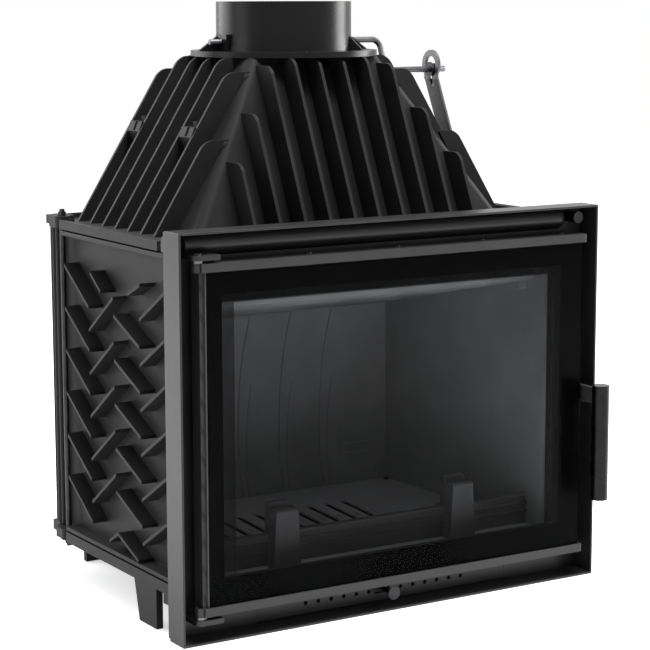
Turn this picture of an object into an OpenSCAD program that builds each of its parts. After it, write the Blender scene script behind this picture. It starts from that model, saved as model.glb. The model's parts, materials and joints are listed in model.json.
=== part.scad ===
// Cast-iron fireplace insert with a recessed glass door, an air slide and a flue damper.
// Millimetres. X to the right seen from the front, Y into the chimney, Z up.
// Origin: middle of the surround's front edge, on the floor.

/* [Surround] */
// Width of the surround
surround_w = 689; // [640:1:740]
// Height of the surround
surround_h = 554; // [540:1:580]
// Depth of the surround
surround_d = 40; // [36:1:60]
// Sheet thickness of the surround
surround_t = 3; // [2:0.5:4]

/* [Body] */
// Distance from the surround's sides in to the sides of the base and top plates
body_in = 8.5; // [4:0.5:16]
// Distance from the surround's front to the rear of the body
body_rear = 470; // [465:1:500]
// Clear height under the base plate
leg_h = 57; // [54:1:70]
// Thickness of the base plate's floor
base_t = 5; // [4:0.5:7]
// Height of the base plate's rim
base_rim_h = 15.5; // [12:0.5:17]
// Distance from the surround's top down to the top plate
top_drop = 24.5; // [20:0.5:28]
// Width of the dark joints between castings
seam = 2.5; // [2:0.1:3]
// Thickness of the top plate
top_t = 6; // [5:0.5:8]
// Height of the top plate's rim
top_rim_h = 13; // [11:0.5:15]
// Wall thickness of the castings
wall = 8; // [6:0.5:9]
// Thickness of rims and flanges
rim_t = 6; // [5:0.5:7]
// Distance from the plate edges in to the side walls
side_inset = 24; // [20:1:26]
// Thickness of the front plate
front_t = 8; // [7:0.5:10]
// Length of the narrow part behind the side rims
rear_l = 82; // [76:1:86]

/* [Legs] */
// Thickness of the legs
leg_t = 10; // [8:0.5:14]
// Foot length of the front legs
leg_foot = 52; // [45:1:60]
// Distance from the surround's front to the front legs
leg_front = 96; // [92:1:110]
// Length of the front legs where they meet the base
leg_root = 68; // [62:1:75]
// Width of the rear legs
rear_leg_w = 36; // [30:1:45]
// Distance of the rear legs from the middle
rear_leg_x = 236; // [220:1:250]

/* [Herringbone ribs] */
// Height of the ribs above the side walls
rib_h = 24; // [18:0.5:24]
// Thickness of the ribs
rib_t = 5; // [3.5:0.5:6]
// Vertical spacing of the ribs
rib_pitch = 62.6; // [62:0.1:64]
// Distance from the side rims' rear end to the ribbed field
rib_rear_in = 13; // [12:1:18]
// Distance from the front plate to the ribbed field
rib_front_in = 8; // [7:1:12]
// Distance from the panel's top down to the start of the rear column
rib_drop = 46; // [43:1:50]

/* [Door] */
// Distance of the door bars from the surround's sides, on average
door_side = 26.5; // [25:0.5:30]
// Distance of the door's middle from the surround's middle
door_x = 5; // [4:0.5:6]
// Distance from the surround's top down to the door
door_drop = 41; // [39:1:44]
// Height of the door's lower edge
door_z = 38; // [37:0.5:40]
// Height of the door bars
bar_h = 12; // [10:0.5:14]
// Distance that the bars stand out from the glass
bar_lip = 3; // [2:0.5:4]
// Thickness of the glass
glass_t = 4; // [4:0.5:5]
// Thickness of the glass seal
glass_seal_t = 1; // [0.5:0.5:1.5]
// Depth of the door frame
frame_d = 22; // [18:1:24]
// Width of the door frame's sides
frame_side = 33; // [28:1:36]
// Height of the door frame's top and bottom
frame_end = 44; // [36:1:46]
// Distance that the bars pass the frame on the handle side
bar_over = 5; // [3:0.5:6]
// Width of the rope seal
rope_w = 12; // [9:0.5:12]

/* [Hinges] */
// Radius of the hinge pins
hinge_r = 4; // [3:0.5:4.5]
// Distance of the hinge axis from the glass front
hinge_y = 8; // [7:0.5:9]
// Thickness of the hinge lugs
lug_t = 7; // [6:0.5:8]
// Thickness of the hinge washers
washer_t = 4; // [3:0.5:4]

/* [Handle] */
// Diameter of the handle grip
grip_d = 25.5; // [22:0.5:27]
// Length of the upper part of the grip
grip_top_l = 64.5; // [60:0.5:75]
// Length of the lower part of the grip
grip_low_l = 106; // [90:1:120]
// Height of the handle pivot
handle_z = 277; // [265:1:285]
// Distance of the grip from the glass front
grip_y = 35; // [34:0.5:40]
// Height of the handle arm
arm_h = 24; // [20:1:26]
// Thickness of the handle arm
arm_t = 8; // [6:0.5:8]
// Radius of the latch shaft
shaft_r = 5; // [4:0.5:6]

/* [Air slide] */
// Width of the air plate
air_w = 420; // [415:1:430]
// Height of the air plate
air_h = 41; // [36:1:44]
// Thickness of the air plate
air_t = 4; // [3:0.5:4]
// Diameter of the air holes
air_hole = 6; // [5:0.5:8]
// Spacing of the air holes
air_pitch = 21; // [20:0.5:24]
// Height of the row of air holes
air_z = 19; // [18:0.5:20]
// Travel of the air slide
air_travel = 10.5; // [8:0.5:10.5]
// Thickness of the air slide
slide_t = 2.5; // [2:0.5:2.5]
// Radius of the air knob
air_knob_r = 9.5; // [8:0.5:10]

/* [Hood] */
// Half width of the hood at its top
hood_top_x = 109; // [105:1:115]
// Half depth of the hood at its top
hood_top_y = 93; // [90:1:98]
// Height of the hood above the top plate
hood_h = 239; // [230:1:245]
// Distance from the body's sides in to the foot of the hood
hood_side_in = 76.5; // [74:0.5:82]
// Distance from the front plate to the foot of the hood
hood_front_in = 68.5; // [65:0.5:75]
// Distance from the body's rear to the flue's middle
flue_in = 154; // [152:1:156]
// Spacing of the cooling fins
fin_pitch = 40.6; // [40:0.1:41]
// Thickness of the cooling fins
fin_t = 5; // [4:0.5:6]
// Height of the front fins
front_fin_h = 40; // [36:1:42]
// Height of the side fins
side_fin_h = 33; // [28:1:34]
// Distance from the flue's middle forward to the first side fin
side_fin_lead = 142; // [140:1:144]

/* [Flue collar] */
// Outer radius of the flue collar
collar_r = 100; // [98:0.5:102]
// Height of the collar above the flange
collar_h = 71; // [65:1:80]
// Wall thickness of the collar
collar_wall = 6; // [5:0.5:8]
// Flare of the collar's foot
collar_flare = 2; // [1:0.5:3]
// Radius of the collar flange
flange_r = 138; // [136:1:140]
// Thickness of the collar flange
flange_t = 8; // [7:0.5:10]

/* [Damper] */
// Radius of the damper axle
axle_r = 4.5; // [4:0.25:5]
// Height of the damper axle above the flange
axle_h = 13; // [12:0.5:14]
// Drop of the damper crank
crank_drop = 46; // [42:1:48]
// Forward reach of the damper crank
crank_reach = 17; // [15:1:18]
// Radius of the damper blade
blade_r = 90; // [85:1:91]
// Thickness of the damper blade
blade_t = 3; // [2.5:0.5:4]
// Angle of the closed damper blade from level
blade_angle = 6; // [2:1:12]
// Radius of the damper rod
pull_r = 4; // [3.5:0.25:4.5]
// Distance of the damper rod from the body's side
pull_in = 16; // [15.5:0.5:17]
// Radius of the damper knob
damper_knob_r = 8.5; // [7:0.5:9]
// Thickness of the damper arm
damper_arm_t = 4; // [3:0.5:5]
// Outer radius of the damper arm's eye
eye_r = 22.5; // [21:0.5:24]
// Radius of the hole in the damper arm's eye
eye_hole_r = 13; // [12.9:0.1:14]

/* [Firebox] */
// Thickness of the side linings at the front
lining_t = 20; // [18:0.5:22]
// Extra thickness of the side linings at the rear
lining_draft = 14; // [10:0.5:16]
// Thickness of the back lining
back_lining_t = 10; // [8:0.5:12]
// Height of the back lining
back_lining_h = 298; // [290:1:300]
// Thickness of the hearth plate
hearth_t = 6; // [5:0.5:7]
// Half width of the grate
grate_x = 188; // [180:1:192]
// Distance from the front plate to the grate
grate_front_in = 77; // [74:1:82]
// Distance from the back lining to the grate
grate_rear_in = 85; // [82:1:92]
// Thickness of the baffle plate
baffle_t = 8; // [6:0.5:10]
// Distance from the side linings' top down to the baffle's front edge
baffle_drop = 14; // [10:1:20]
// Height of the front rail
rail_h = 46; // [42:1:50]
// Height of the log posts
post_h = 90; // [85:1:97]
// Distance from the body's sides in to the firebox mouth
mouth_in = 46; // [44:1:48]
// Distance from the door's top down to the firebox mouth's upper edge
mouth_drop = 43; // [39:1:48]

/* [Hidden] */
$fn = 64;

// Overrun of cuts
cut = 1;
// Running clearance of pins in their holes
fit = 0.05;
// Gap between pieces that slide or lie loose
gap = 0.3;
// Radius of small screws
screw_r = 2.5;
// Height of small screw heads
screw_head = 2;
// Radius of bolts
bolt_r = 4;
// Radius over the flats of bolt heads
bolt_head_r = 6.5;
// Height of bolt heads
bolt_head = 6;

iron = [0.21, 0.21, 0.22];
iron_dark = [0.13, 0.13, 0.14];
steel = [0.30, 0.30, 0.31];
bright = [0.62, 0.62, 0.63];
glass = [0.10, 0.10, 0.11, 0.5];
rope = [0.16, 0.16, 0.16];

// Levels and planes of the body
body_w = surround_w - 2 * body_in;
half_w = body_w / 2;
front_y = surround_d;
shell_y = front_y + front_t;
base_top = leg_h + base_rim_h;
panel_z = base_top + seam;
deck_z = surround_h - top_drop;
top_z = deck_z - top_t;
panel_top = top_z - seam;
panel_h = panel_top - panel_z;
hearth_z = leg_h + base_t;
floor_z = hearth_z + hearth_t;
side_out = half_w - side_inset;
side_in = side_out - wall;
back_in = body_rear - wall;
rim_end = body_rear - rear_l;
flue_y = body_rear - flue_in;
pull_x = half_w - pull_in;
hood_z = deck_z + hood_h;
flange_z = hood_z + flange_t;
axle_z = flange_z + axle_h;

// Box between two corners
module box(a, b) {
  translate(a) cube(b - a);
}

// The same piece on the left and on the right
module both_sides() {
  children();
  mirror([1, 0, 0]) children();
}

// Outline in Y and Z, extruded along X from x by t
module along_x(x, t) {
  translate([x, 0, 0]) rotate([90, 0, 90]) linear_extrude(t) children();
}

// Outline in X and Z, extruded along Y from y by t
module along_y(y, t) {
  translate([0, y + t, 0]) rotate([90, 0, 0]) linear_extrude(t) children();
}

// Cylinder along X, Y or Z from a point
module rod_x(p, l, r) {
  translate(p) rotate([0, 90, 0]) cylinder(h = l, r = r);
}

module rod_y(p, l, r) {
  translate(p) rotate([-90, 0, 0]) cylinder(h = l, r = r);
}

module rod_z(p, l, r) {
  translate(p) cylinder(h = l, r = r);
}

// Six-sided bolt head or nut along Z
module hex_z(p, h, r) {
  translate(p) cylinder(h = h, r = r, $fn = 6);
}

// Surround
module surround() {
  color(iron)
    difference() {
      box([-surround_w / 2, 0, 0], [surround_w / 2, surround_d, surround_h]);
      box([-surround_w / 2 + surround_t, -cut, surround_t],
          [surround_w / 2 - surround_t, surround_d + cut, surround_h - surround_t]);
    }
}

// Front plate with the rounded air duct above the door and the hinge lugs
front_lap = 1;
front_half = surround_w / 2 - surround_t + front_lap;
front_low = surround_t - front_lap;
front_top = surround_h - surround_t + front_lap;
duct_r = 16;
duct_drop = 18;
duct_left_in = 14;
duct_right_in = 41;
duct_z = front_top - duct_drop;
duct_left = -half_w + duct_left_in;
duct_right = half_w - duct_right_in;
door_w = surround_w - 2 * door_side;
door_h = surround_h - door_drop - door_z;
mouth_x = half_w - mouth_in;
mouth_top = door_z + door_h - mouth_drop;
hinge_out = 1;
hinge_x = door_x - door_w / 2 - hinge_out;
lug_upper_z = door_z + door_h + washer_t;
lug_lower_z = door_z - washer_t - lug_t;
lug_r = 11;
lug_right = 29;
pull_lift = 2;
pull_z = deck_z + pull_r + pull_lift;
ear_w = 10;
ear_l = 19;
ear_top = 11;
ear_chamfer = 9;

module hinge_lug(z) {
  rod_z([hinge_x, hinge_y, z], lug_t, lug_r);
  box([hinge_x - lug_r, hinge_y, z], [hinge_x + lug_right, front_y + cut, z + lug_t]);
  box([hinge_x, hinge_y - lug_r, z], [hinge_x + lug_right, front_y, z + lug_t]);
}

module front_outline() {
  box([-front_half, front_y, front_low], [front_half, shell_y, front_top]);
}

module front_plate() {
  color(iron)
    difference() {
      union() {
        front_outline();
        // Rounded duct with a ball end
        difference() {
          union() {
            rod_x([duct_left, front_y, duct_z], duct_right - duct_left, duct_r);
            translate([duct_right, front_y, duct_z]) sphere(r = duct_r);
          }
          box([-body_w, shell_y - cut, 0], [body_w, body_rear, 2 * surround_h]);
        }
        hinge_lug(lug_upper_z);
        hinge_lug(lug_lower_z);
        // Corner ears beside the top plate
        both_sides()
          along_x(-half_w, ear_w)
            polygon([[shell_y - cut, top_z], [shell_y + ear_l, top_z],
                     [shell_y + ear_l, top_z + ear_top + rim_t],
                     [shell_y + ear_l - ear_top, top_z + ear_top + rim_t + ear_chamfer],
                     [shell_y - cut, top_z + ear_top + rim_t + ear_chamfer]]);
      }
      box([-mouth_x, front_y - cut, floor_z - hearth_t / 3], [mouth_x, shell_y + cut, mouth_top]);
      air_recess();
      air_window();
      rod_z([hinge_x, hinge_y, lug_lower_z - cut], surround_h, hinge_r + fit);
      rod_y([pull_x, front_y - duct_r - cut, pull_z], front_t + 2 * duct_r, pull_r + fit);
    }
}

// Corner lugs for the tie rods
tie_lug_r = 12;
tie_lug_l = 24;
tie_lug_web = 2;
tie_set = 16;
tie_x = half_w - tie_lug_r;
tie_y = rim_end + tie_set;
narrow = half_w - side_inset + wall;

module tie_lug(z, h) {
  rod_z([-tie_x, tie_y, z], h, tie_lug_r);
  rod_z([-tie_x + tie_lug_r / 2, tie_y + tie_lug_l, z], h, tie_lug_r);
  box([-tie_x - tie_lug_r + tie_lug_web, tie_y, z], [-side_in, tie_y + tie_lug_l, z + h]);
}

// Plate with wide sides in front and narrow sides behind
module shell_plate(y, z, t, half) {
  box([-half, y, z], [half, rim_end, z + t]);
  box([-narrow, rim_end - cut, z], [narrow, body_rear, z + t]);
}

// Base plate with its rim, its legs and the opening for the ash
leg_taper = 16;
leg_draft = 2;
front_lug_w = 16;
front_lug_h = 14;
front_lug_l = 18;
grate_front = shell_y + grate_front_in;
grate_rear = back_in - back_lining_t - grate_rear_in;
grate_seat = 6;
ash_inset = 4;
ash_x = grate_x - grate_seat - ash_inset;
ash_front = grate_front + grate_seat + ash_inset;
ash_rear = grate_rear - grate_seat - ash_inset;

module front_leg() {
  along_x(-half_w, leg_t)
    polygon([[leg_front, 0], [leg_front + leg_foot, 0],
             [leg_front + leg_root, leg_h + base_t], [leg_front, leg_h + base_t]]);
}

module rear_leg() {
  along_y(body_rear - leg_t, leg_t)
    polygon([[-rear_leg_x - rear_leg_w, leg_h + base_t], [-rear_leg_x - rear_leg_w + leg_draft, 0],
             [-rear_leg_x, 0], [-rear_leg_x + leg_taper, leg_h + base_t]]);
}

module front_lug() {
  box([-half_w, shell_y + front_lug_l / 2, leg_h - front_lug_h],
      [-half_w + front_lug_w, shell_y + 3 * front_lug_l / 2, leg_h + cut]);
}

module base_plate() {
  color(iron)
    difference() {
      union() {
        shell_plate(shell_y, leg_h, base_t, half_w);
        difference() {
          shell_plate(shell_y, leg_h, base_rim_h, half_w);
          box([-side_in, shell_y - cut, hearth_z], [side_in, back_in, base_top + cut]);
        }
        both_sides() {
          tie_lug(leg_h, base_rim_h);
          front_leg();
          rear_leg();
          front_lug();
        }
      }
      box([-ash_x, ash_front, leg_h - cut], [ash_x, ash_rear, base_top + cut]);
      box([-air_mouth_x, shell_y + wall, leg_h - cut], [air_mouth_x, shell_y + duct_in_l, base_top + cut]);
      both_sides() rod_z([-tie_x, tie_y, leg_h - cut], base_rim_h + 2 * cut, bolt_r + fit);
    }
}

// Rope in the joints between the castings
rope_lap = 1;
rope_lip = 6;
rope_front_in = 4;
rope_rear_in = 2;
rope_in = side_in + rope_lap;
rope_out = side_out + rope_lip;

module joint_rope(z) {
  color(rope)
    difference() {
      union() {
        box([-rope_out, shell_y + rope_front_in, z], [rope_out, tie_y - tie_lug_r - gap, z + seam]);
        box([-side_out, tie_y - tie_lug_r - gap, z], [side_out, body_rear - rope_rear_in, z + seam]);
      }
      box([-rope_in, shell_y - cut, z - cut], [rope_in, back_in + rope_lap, z + seam + cut]);
    }
}

module lower_rope() {
  joint_rope(base_top);
}

module upper_rope() {
  joint_rope(panel_top);
}

// Side panels with herringbone ribs
panel_front = shell_y + gap;
panel_short = 38;
panel_end = body_rear - panel_short;
rib_rear = rim_end - rib_rear_in;
rib_front = shell_y + rib_front_in;
rib_z = panel_top - rib_drop;
rib_cols = 4;
rib_col_w = (rib_rear - rib_front) / rib_cols;
// Rise of each column's ribs, from the rear, as a share of the rib spacing
rib_rise_shares = [-0.83, 0.89, -0.53, 0.76];
// Start of each column's ribs below the first, as a share of the rib spacing
rib_drop_shares = [0, 1.36, 0.86, 0.79];
rib_counts = [6, 5, 5, 6];
// Short ribs at the top and bottom: rear end, front end and heights, as shares of the field
short_rib_shares = [
  [0.27, 0.375, -0.03, -0.40],
  [0.64, 0.76, -0.30, -0.02],
  [0.42, 0.51, -6.08, -5.82],
  [0.51, 0.71, -5.82, -6.22]
];

module rib(y0, y1, z0, z1) {
  along_x(-side_out - rib_h, rib_h)
    polygon([[y0, z0], [y1, z1], [y1, z1 - rib_t], [y0, z0 - rib_t]]);
}

module ribs() {
  for (c = [0:rib_cols - 1])
    for (n = [0:rib_counts[c] - 1]) {
      y0 = rib_rear - c * rib_col_w;
      z0 = rib_z - (n + rib_drop_shares[c]) * rib_pitch;
      rib(y0, y0 - rib_col_w, z0, z0 + rib_rise_shares[c] * rib_pitch);
    }
  for (s = short_rib_shares)
    rib(rib_rear - s[0] * (rib_rear - rib_front), rib_rear - s[1] * (rib_rear - rib_front),
        rib_z + s[2] * rib_pitch, rib_z + s[3] * rib_pitch);
}

module left_panel() {
  box([-side_out, panel_front, panel_z], [-side_in, panel_end, panel_top]);
  for (z = [panel_z, panel_top - rim_t])
    box([-half_w, panel_front, z], [-side_in, rim_end, z + rim_t]);
  box([-half_w, panel_front, panel_z], [-side_in, panel_front + rim_t, panel_top]);
  ribs();
}

module left_side_panel() {
  color(iron) left_panel();
}

module right_side_panel() {
  color(iron) mirror([1, 0, 0]) left_panel();
}

// Back panel with fluted corners
corner_r = 30;
corner_wall = wall;
flute_r = 4;
corner_out = side_out + wall;
corner_x = corner_out - corner_r;
corner_y = body_rear - corner_r;
flute_angles = [0, 24, 48];

module back_corner_outline() {
  difference() {
    union() {
      intersection() {
        translate([corner_x, corner_y]) circle(r = corner_r);
        translate([corner_x, corner_y]) square([corner_r, corner_r]);
      }
      for (a = flute_angles)
        translate([corner_x + corner_r * cos(a), corner_y + corner_r * sin(a)]) circle(r = flute_r);
      translate([corner_x, panel_end - wall]) square([corner_r, corner_y - panel_end + wall]);
      translate([corner_x + corner_r, panel_end - wall + flute_r]) circle(r = flute_r);
    }
    translate([corner_x, corner_y]) circle(r = corner_r - corner_wall);
    translate([corner_x - corner_r, panel_end - wall - cut])
      square([2 * corner_r - corner_wall, corner_y - panel_end + wall + cut]);
  }
}

module back_panel() {
  color(iron)
    translate([0, 0, panel_z]) linear_extrude(panel_h) {
      translate([-corner_x, back_in]) square([2 * corner_x, wall]);
      back_corner_outline();
      mirror([1, 0]) back_corner_outline();
    }
}

// Top plate with its rim, tie lugs and the guides of the damper rod
tongue_l = 30;
tongue_in = 14;
throat_in = 101;
throat_front_in = 92;
throat_rear_in = 40;
top_front = shell_y + tongue_l;
tongue_x = half_w - tongue_in;
lug_rise = 4;
throat_x = half_w - throat_in;
throat_front = shell_y + throat_front_in;
throat_rear = body_rear - throat_rear_in;
guide_behind = 21;
guide_y = flue_y + guide_behind;
guide_l = 9;
guide_w = 16;
guide_h = 13;

module top_plate() {
  color(iron)
    difference() {
      union() {
        shell_plate(top_front, top_z, top_t, half_w);
        box([-tongue_x, shell_y, top_z], [tongue_x, top_front + cut, deck_z]);
        difference() {
          shell_plate(top_front, top_z, top_rim_h, half_w);
          box([-half_w + rim_t, top_front - cut, deck_z], [half_w - rim_t, rim_end + cut, deck_z + top_rim_h]);
          box([-narrow + rim_t, top_front, deck_z], [narrow - rim_t, body_rear - rim_t, deck_z + top_rim_h]);
        }
        both_sides() tie_lug(top_z, top_rim_h + lug_rise);
        box([pull_x - guide_w / 2, guide_y, deck_z - cut],
            [pull_x + guide_w / 2 - gap, guide_y + guide_l, deck_z + guide_h]);
      }
      box([-throat_x, throat_front, top_z - cut], [throat_x, throat_rear, deck_z + top_rim_h]);
      both_sides() rod_z([-tie_x, tie_y, top_z - cut], top_rim_h + lug_rise + 2 * cut, bolt_r + fit);
      rod_y([pull_x, guide_y - cut, pull_z], guide_l + 2 * cut, pull_r + fit);
    }
}

// Tie rods between the corner lugs, with their nuts
tie_over = 4;
tie_low = leg_h - bolt_head - tie_over;
tie_high = top_z + top_rim_h + lug_rise + bolt_head + tie_over;

module tie_rods() {
  color(steel)
    both_sides() rod_z([-tie_x, tie_y, tie_low], tie_high - tie_low, bolt_r);
}

module tie_nuts() {
  color(steel)
    both_sides()
      for (z = [leg_h - bolt_head, top_z + top_rim_h + lug_rise])
        difference() {
          hex_z([-tie_x, tie_y, z], bolt_head, bolt_head_r);
          rod_z([-tie_x, tie_y, z - cut], bolt_head + 2 * cut, bolt_r + fit);
        }
}

// Hood: outer shape from its slopes
hood_spread = half_w - hood_side_in - hood_top_x;
hood_front_spread = flue_y - hood_top_y - shell_y - hood_front_in;
side_slope = hood_spread / hood_h;
front_slope = hood_front_spread / hood_h;
side_fin_y = flue_y - side_fin_lead;
hood_back_top = flue_y + hood_top_y;
hood_back_in = 15;
hood_back_stop = body_rear - hood_back_in;
hood_back_z = hood_z - (hood_back_stop - hood_back_top) / front_slope;
hood_wall = 8;

// Half width of the hood at height z, and the height where it has half width x
function hood_x(z) = hood_top_x + (hood_z - z) * side_slope;
function hood_z_at_x(x) = hood_z - (x - hood_top_x) / side_slope;
function hood_y(z) = flue_y - hood_top_y - (hood_z - z) * front_slope;

// Solid hood with its sides moved in by d
module hood_solid(d, low, high) {
  intersection() {
    along_y(-surround_d, 2 * body_rear)
      polygon([[-hood_x(low) + d, low], [hood_x(low) - d, low],
               [hood_x(high) - d, high], [-hood_x(high) + d, high]]);
    along_x(-body_w, 2 * body_w)
      polygon([[hood_y(low) + d, low], [hood_back_stop - d, low], [hood_back_stop - d, hood_back_z],
               [hood_back_top + (hood_z - high) * front_slope - d, high], [hood_y(high) + d, high]]);
  }
}

// Fin outline: from the sloping face at (base, low) up to high, h proud, with a rounded top corner
fin_round = 12;

module fin_outline(face_low, face_high, low, high, h) {
  polygon(concat(
    [[face_low - wall / 2, low], [face_low + h, low]],
    [for (a = [0:15:90]) [face_high + h - fin_round + fin_round * cos(a) + fin_lean(a, face_low, face_high, low, high),
                          high - fin_round + fin_round * sin(a)]],
    [[face_high - wall / 2, high]]));
}

// Keeps the rounded corner on the sloping edge
function fin_lean(a, face_low, face_high, low, high) =
  (face_low - face_high) / (high - low) * fin_round * (1 - sin(a));

front_fins = 10;
side_fins = 7;
// Side margin between the top of a front fin and the hood's edge
fin_margin = 14;

module front_fin(x) {
  high = min(hood_z, hood_z_at_x(abs(x) + fin_margin));
  along_x(x - fin_t / 2, fin_t)
    mirror([1, 0]) fin_outline(-hood_y(deck_z), -hood_y(high), deck_z, high, front_fin_h);
}

module side_fin(y) {
  edge = y < flue_y ? hood_z - (flue_y - hood_top_y - y) / front_slope
                    : hood_z - (y - hood_back_top) / front_slope;
  high = min(hood_z, edge);
  along_y(y - fin_t / 2, fin_t)
    fin_outline(hood_x(deck_z), hood_x(high), deck_z, high, side_fin_h);
}

// Slotted clamp boss between two side fins
boss_drop = 94.5;
boss_h = 42;
boss_z = hood_z - boss_drop;
boss_low = boss_z - boss_h;
boss_slot_w = 7;
boss_slot_d = 13;
boss_slot_in = 8;
boss_out = 36;
boss_lean = 6;
boss_face = 14;
boss_foot = 2;
boss_gaps = [1, 5];

module hood_boss(n) {
  y = side_fin_y + n * fin_pitch + fin_t / 2;
  l = fin_pitch - fin_t;
  difference() {
    along_y(y - cut, l + 2 * cut)
      polygon([[hood_x(boss_z) - wall / 2, boss_z], [hood_x(boss_z) + boss_out, boss_z],
               [hood_x(boss_z) + boss_out + boss_lean, boss_z - boss_face],
               [hood_x(boss_low) + boss_foot, boss_low],
               [hood_x(boss_low) - wall / 2, boss_low]]);
    translate([hood_x(boss_z) + boss_out - boss_slot_in, y + l / 3, boss_z - boss_slot_d])
      cube([boss_out, boss_slot_w, 2 * boss_slot_d]);
    rod_z([hood_x(boss_z) + boss_out / 2, y + l * 2 / 3, boss_z - 2 * boss_slot_d],
          3 * boss_slot_d, bolt_r + fit);
  }
}

module hood() {
  color(iron)
    difference() {
      union() {
        difference() {
          hood_solid(0, deck_z, hood_z);
          hood_solid(hood_wall, deck_z - cut, hood_z - hood_wall);
        }
        for (n = [0:front_fins - 1])
          front_fin((n - (front_fins - 1) / 2) * fin_pitch);
        both_sides() {
          for (n = [0:side_fins - 1])
            side_fin(side_fin_y + n * fin_pitch);
          for (n = boss_gaps)
            hood_boss(n);
        }
      }
      rod_z([0, flue_y, hood_z - 2 * hood_wall], 3 * hood_wall, collar_r);
      flange_bolt_holes();
    }
}

clamp_bolt_up = 4;
clamp_head = 7;

module hood_bolts() {
  color(steel)
    both_sides()
      for (n = boss_gaps) {
        x = hood_x(boss_z) + boss_out / 2;
        y = side_fin_y + n * fin_pitch + fin_t / 2 + (fin_pitch - fin_t) * 2 / 3;
        rod_z([x, y, boss_z - 2 * boss_slot_d + clamp_bolt_up], 2 * boss_slot_d - clamp_bolt_up, bolt_r);
        hex_z([x, y, boss_z], clamp_head, bolt_head_r);
      }
}

// Flue collar with its flange, gussets and damper bearings
bolt_ring_out = 22;
bolt_ring_r = collar_r + bolt_ring_out;
flange_bolt_turn = 38;
flange_bolt_angles = [for (half = [0, 180]) for (s = [-1, 1]) half + s * flange_bolt_turn];
bearing_w = 31;
bearing_h = 24;
bearing_l = 6;
gusset_h = 21;
gusset_t = 5;
rib_r = 121;
rib_turn = -45;
flange_thread = 5;
bore_r = collar_r - collar_wall;

module flange_bolt_holes() {
  for (a = flange_bolt_angles)
    rod_z([bolt_ring_r * cos(a), flue_y + bolt_ring_r * sin(a), hood_z - 3 * hood_wall],
          3 * hood_wall + flange_thread, bolt_r + fit);
}

module flue_collar() {
  color(iron)
    difference() {
      union() {
        rod_z([0, flue_y, hood_z], flange_t, flange_r);
        translate([0, flue_y, flange_z - cut])
          cylinder(h = bearing_h + cut, r1 = collar_r + collar_flare, r2 = collar_r);
        rod_z([0, flue_y, flange_z + bearing_h - cut], collar_h - bearing_h + cut, collar_r);
        for (turn = [0, 180])
          translate([0, flue_y, 0]) rotate([0, 0, turn]) {
            // Damper bearing with one gusset beside it
            box([collar_r - collar_wall, -bearing_w / 2, flange_z - cut],
                [collar_r + bearing_l, bearing_w / 2, flange_z + bearing_h]);
            along_y(-bearing_w / 2, gusset_t)
              polygon([[collar_r, flange_z - cut], [flange_r, flange_z - cut],
                       [collar_r + bearing_l, flange_z + gusset_h], [collar_r, flange_z + gusset_h]]);
            // Rib between the bearings
            rotate([0, 0, rib_turn])
              along_y(-gusset_t / 2, gusset_t)
                polygon([[collar_r - collar_wall / 2, flange_z - cut], [rib_r, flange_z - cut],
                         [collar_r, flange_z + gusset_h], [collar_r - collar_wall / 2, flange_z + gusset_h]]);
          }
      }
      rod_z([0, flue_y, hood_z - cut], collar_h + 3 * flange_t, bore_r);
      rod_x([-2 * collar_r, flue_y, axle_z], 4 * collar_r, axle_r + fit);
      flange_bolt_holes();
    }
}

module flange_bolts() {
  color(steel)
    for (a = flange_bolt_angles) {
      p = [bolt_ring_r * cos(a), flue_y + bolt_ring_r * sin(a), 0];
      rod_z(p + [0, 0, hood_z - hood_wall], hood_wall + flange_thread - gap, bolt_r);
      hex_z(p + [0, 0, hood_z - hood_wall - bolt_head], bolt_head, bolt_head_r);
    }
}

// Damper: axle and crank in one bent rod, blade, washer and clip
crank_out = 62;
crank_l = 109;
axle_tail = 19;
crank_x = collar_r + bearing_l + crank_out;
crank_end = crank_x + crank_l;
crank_y = flue_y - crank_reach;
crank_z = axle_z - crank_drop;
axle_end = -collar_r - bearing_l - axle_tail;
crank_len = sqrt(crank_drop * crank_drop + crank_reach * crank_reach);
crank_tilt = atan(crank_reach / crank_drop);

module damper_axle() {
  color(steel)
    difference() {
      union() {
        rod_x([axle_end, flue_y, axle_z], crank_x - axle_end, axle_r);
        translate([crank_x, flue_y, axle_z]) sphere(r = axle_r);
        translate([crank_x, flue_y, axle_z]) rotate([180 - crank_tilt, 0, 0])
          cylinder(h = crank_len, r = axle_r);
        translate([crank_x, crank_y, crank_z]) sphere(r = axle_r);
        rod_x([crank_x, crank_y, crank_z], crank_end - crank_x, axle_r);
      }
      blade_place() blade_screw_holes();
    }
}

// The blade lies on a flat line of the axle, turned to its angle
module blade_place() {
  translate([0, flue_y, axle_z]) rotate([-blade_angle, 0, 0]) children();
}

blade_screw_places = [-blade_r / 2, 0, blade_r / 2];

module blade_screw_holes() {
  for (x = blade_screw_places)
    rod_z([x, 0, -3 * axle_r], 6 * axle_r, screw_r + fit);
}

module damper_blade() {
  color(iron_dark)
    blade_place()
      difference() {
        rod_z([0, 0, axle_r], blade_t, blade_r);
        blade_screw_holes();
      }
}

module blade_screws() {
  color(steel)
    blade_place()
      for (x = blade_screw_places) {
        rod_z([x, 0, -axle_r], 2 * axle_r + blade_t, screw_r);
        hex_z([x, 0, axle_r + blade_t], screw_head, 2 * screw_r);
      }
}

// Damper arm: an eye round the crank's end and a leg that leans out to the damper rod
arm_in = 25.5;
arm_x = crank_end - arm_in;
eye_lift = 7;
eye_z = crank_z + eye_lift;
washer_r = 11;
crank_washer_t = 2;
arm_w = 34;
keyhole_l = 20;
keyhole_w = 8;
arm_bend_z = eye_z - eye_r;
arm_foot_w = 24;
arm_foot_x = pull_x - pull_r - damper_arm_t;
foot_wrap = 2;
foot_h = 12;

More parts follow.
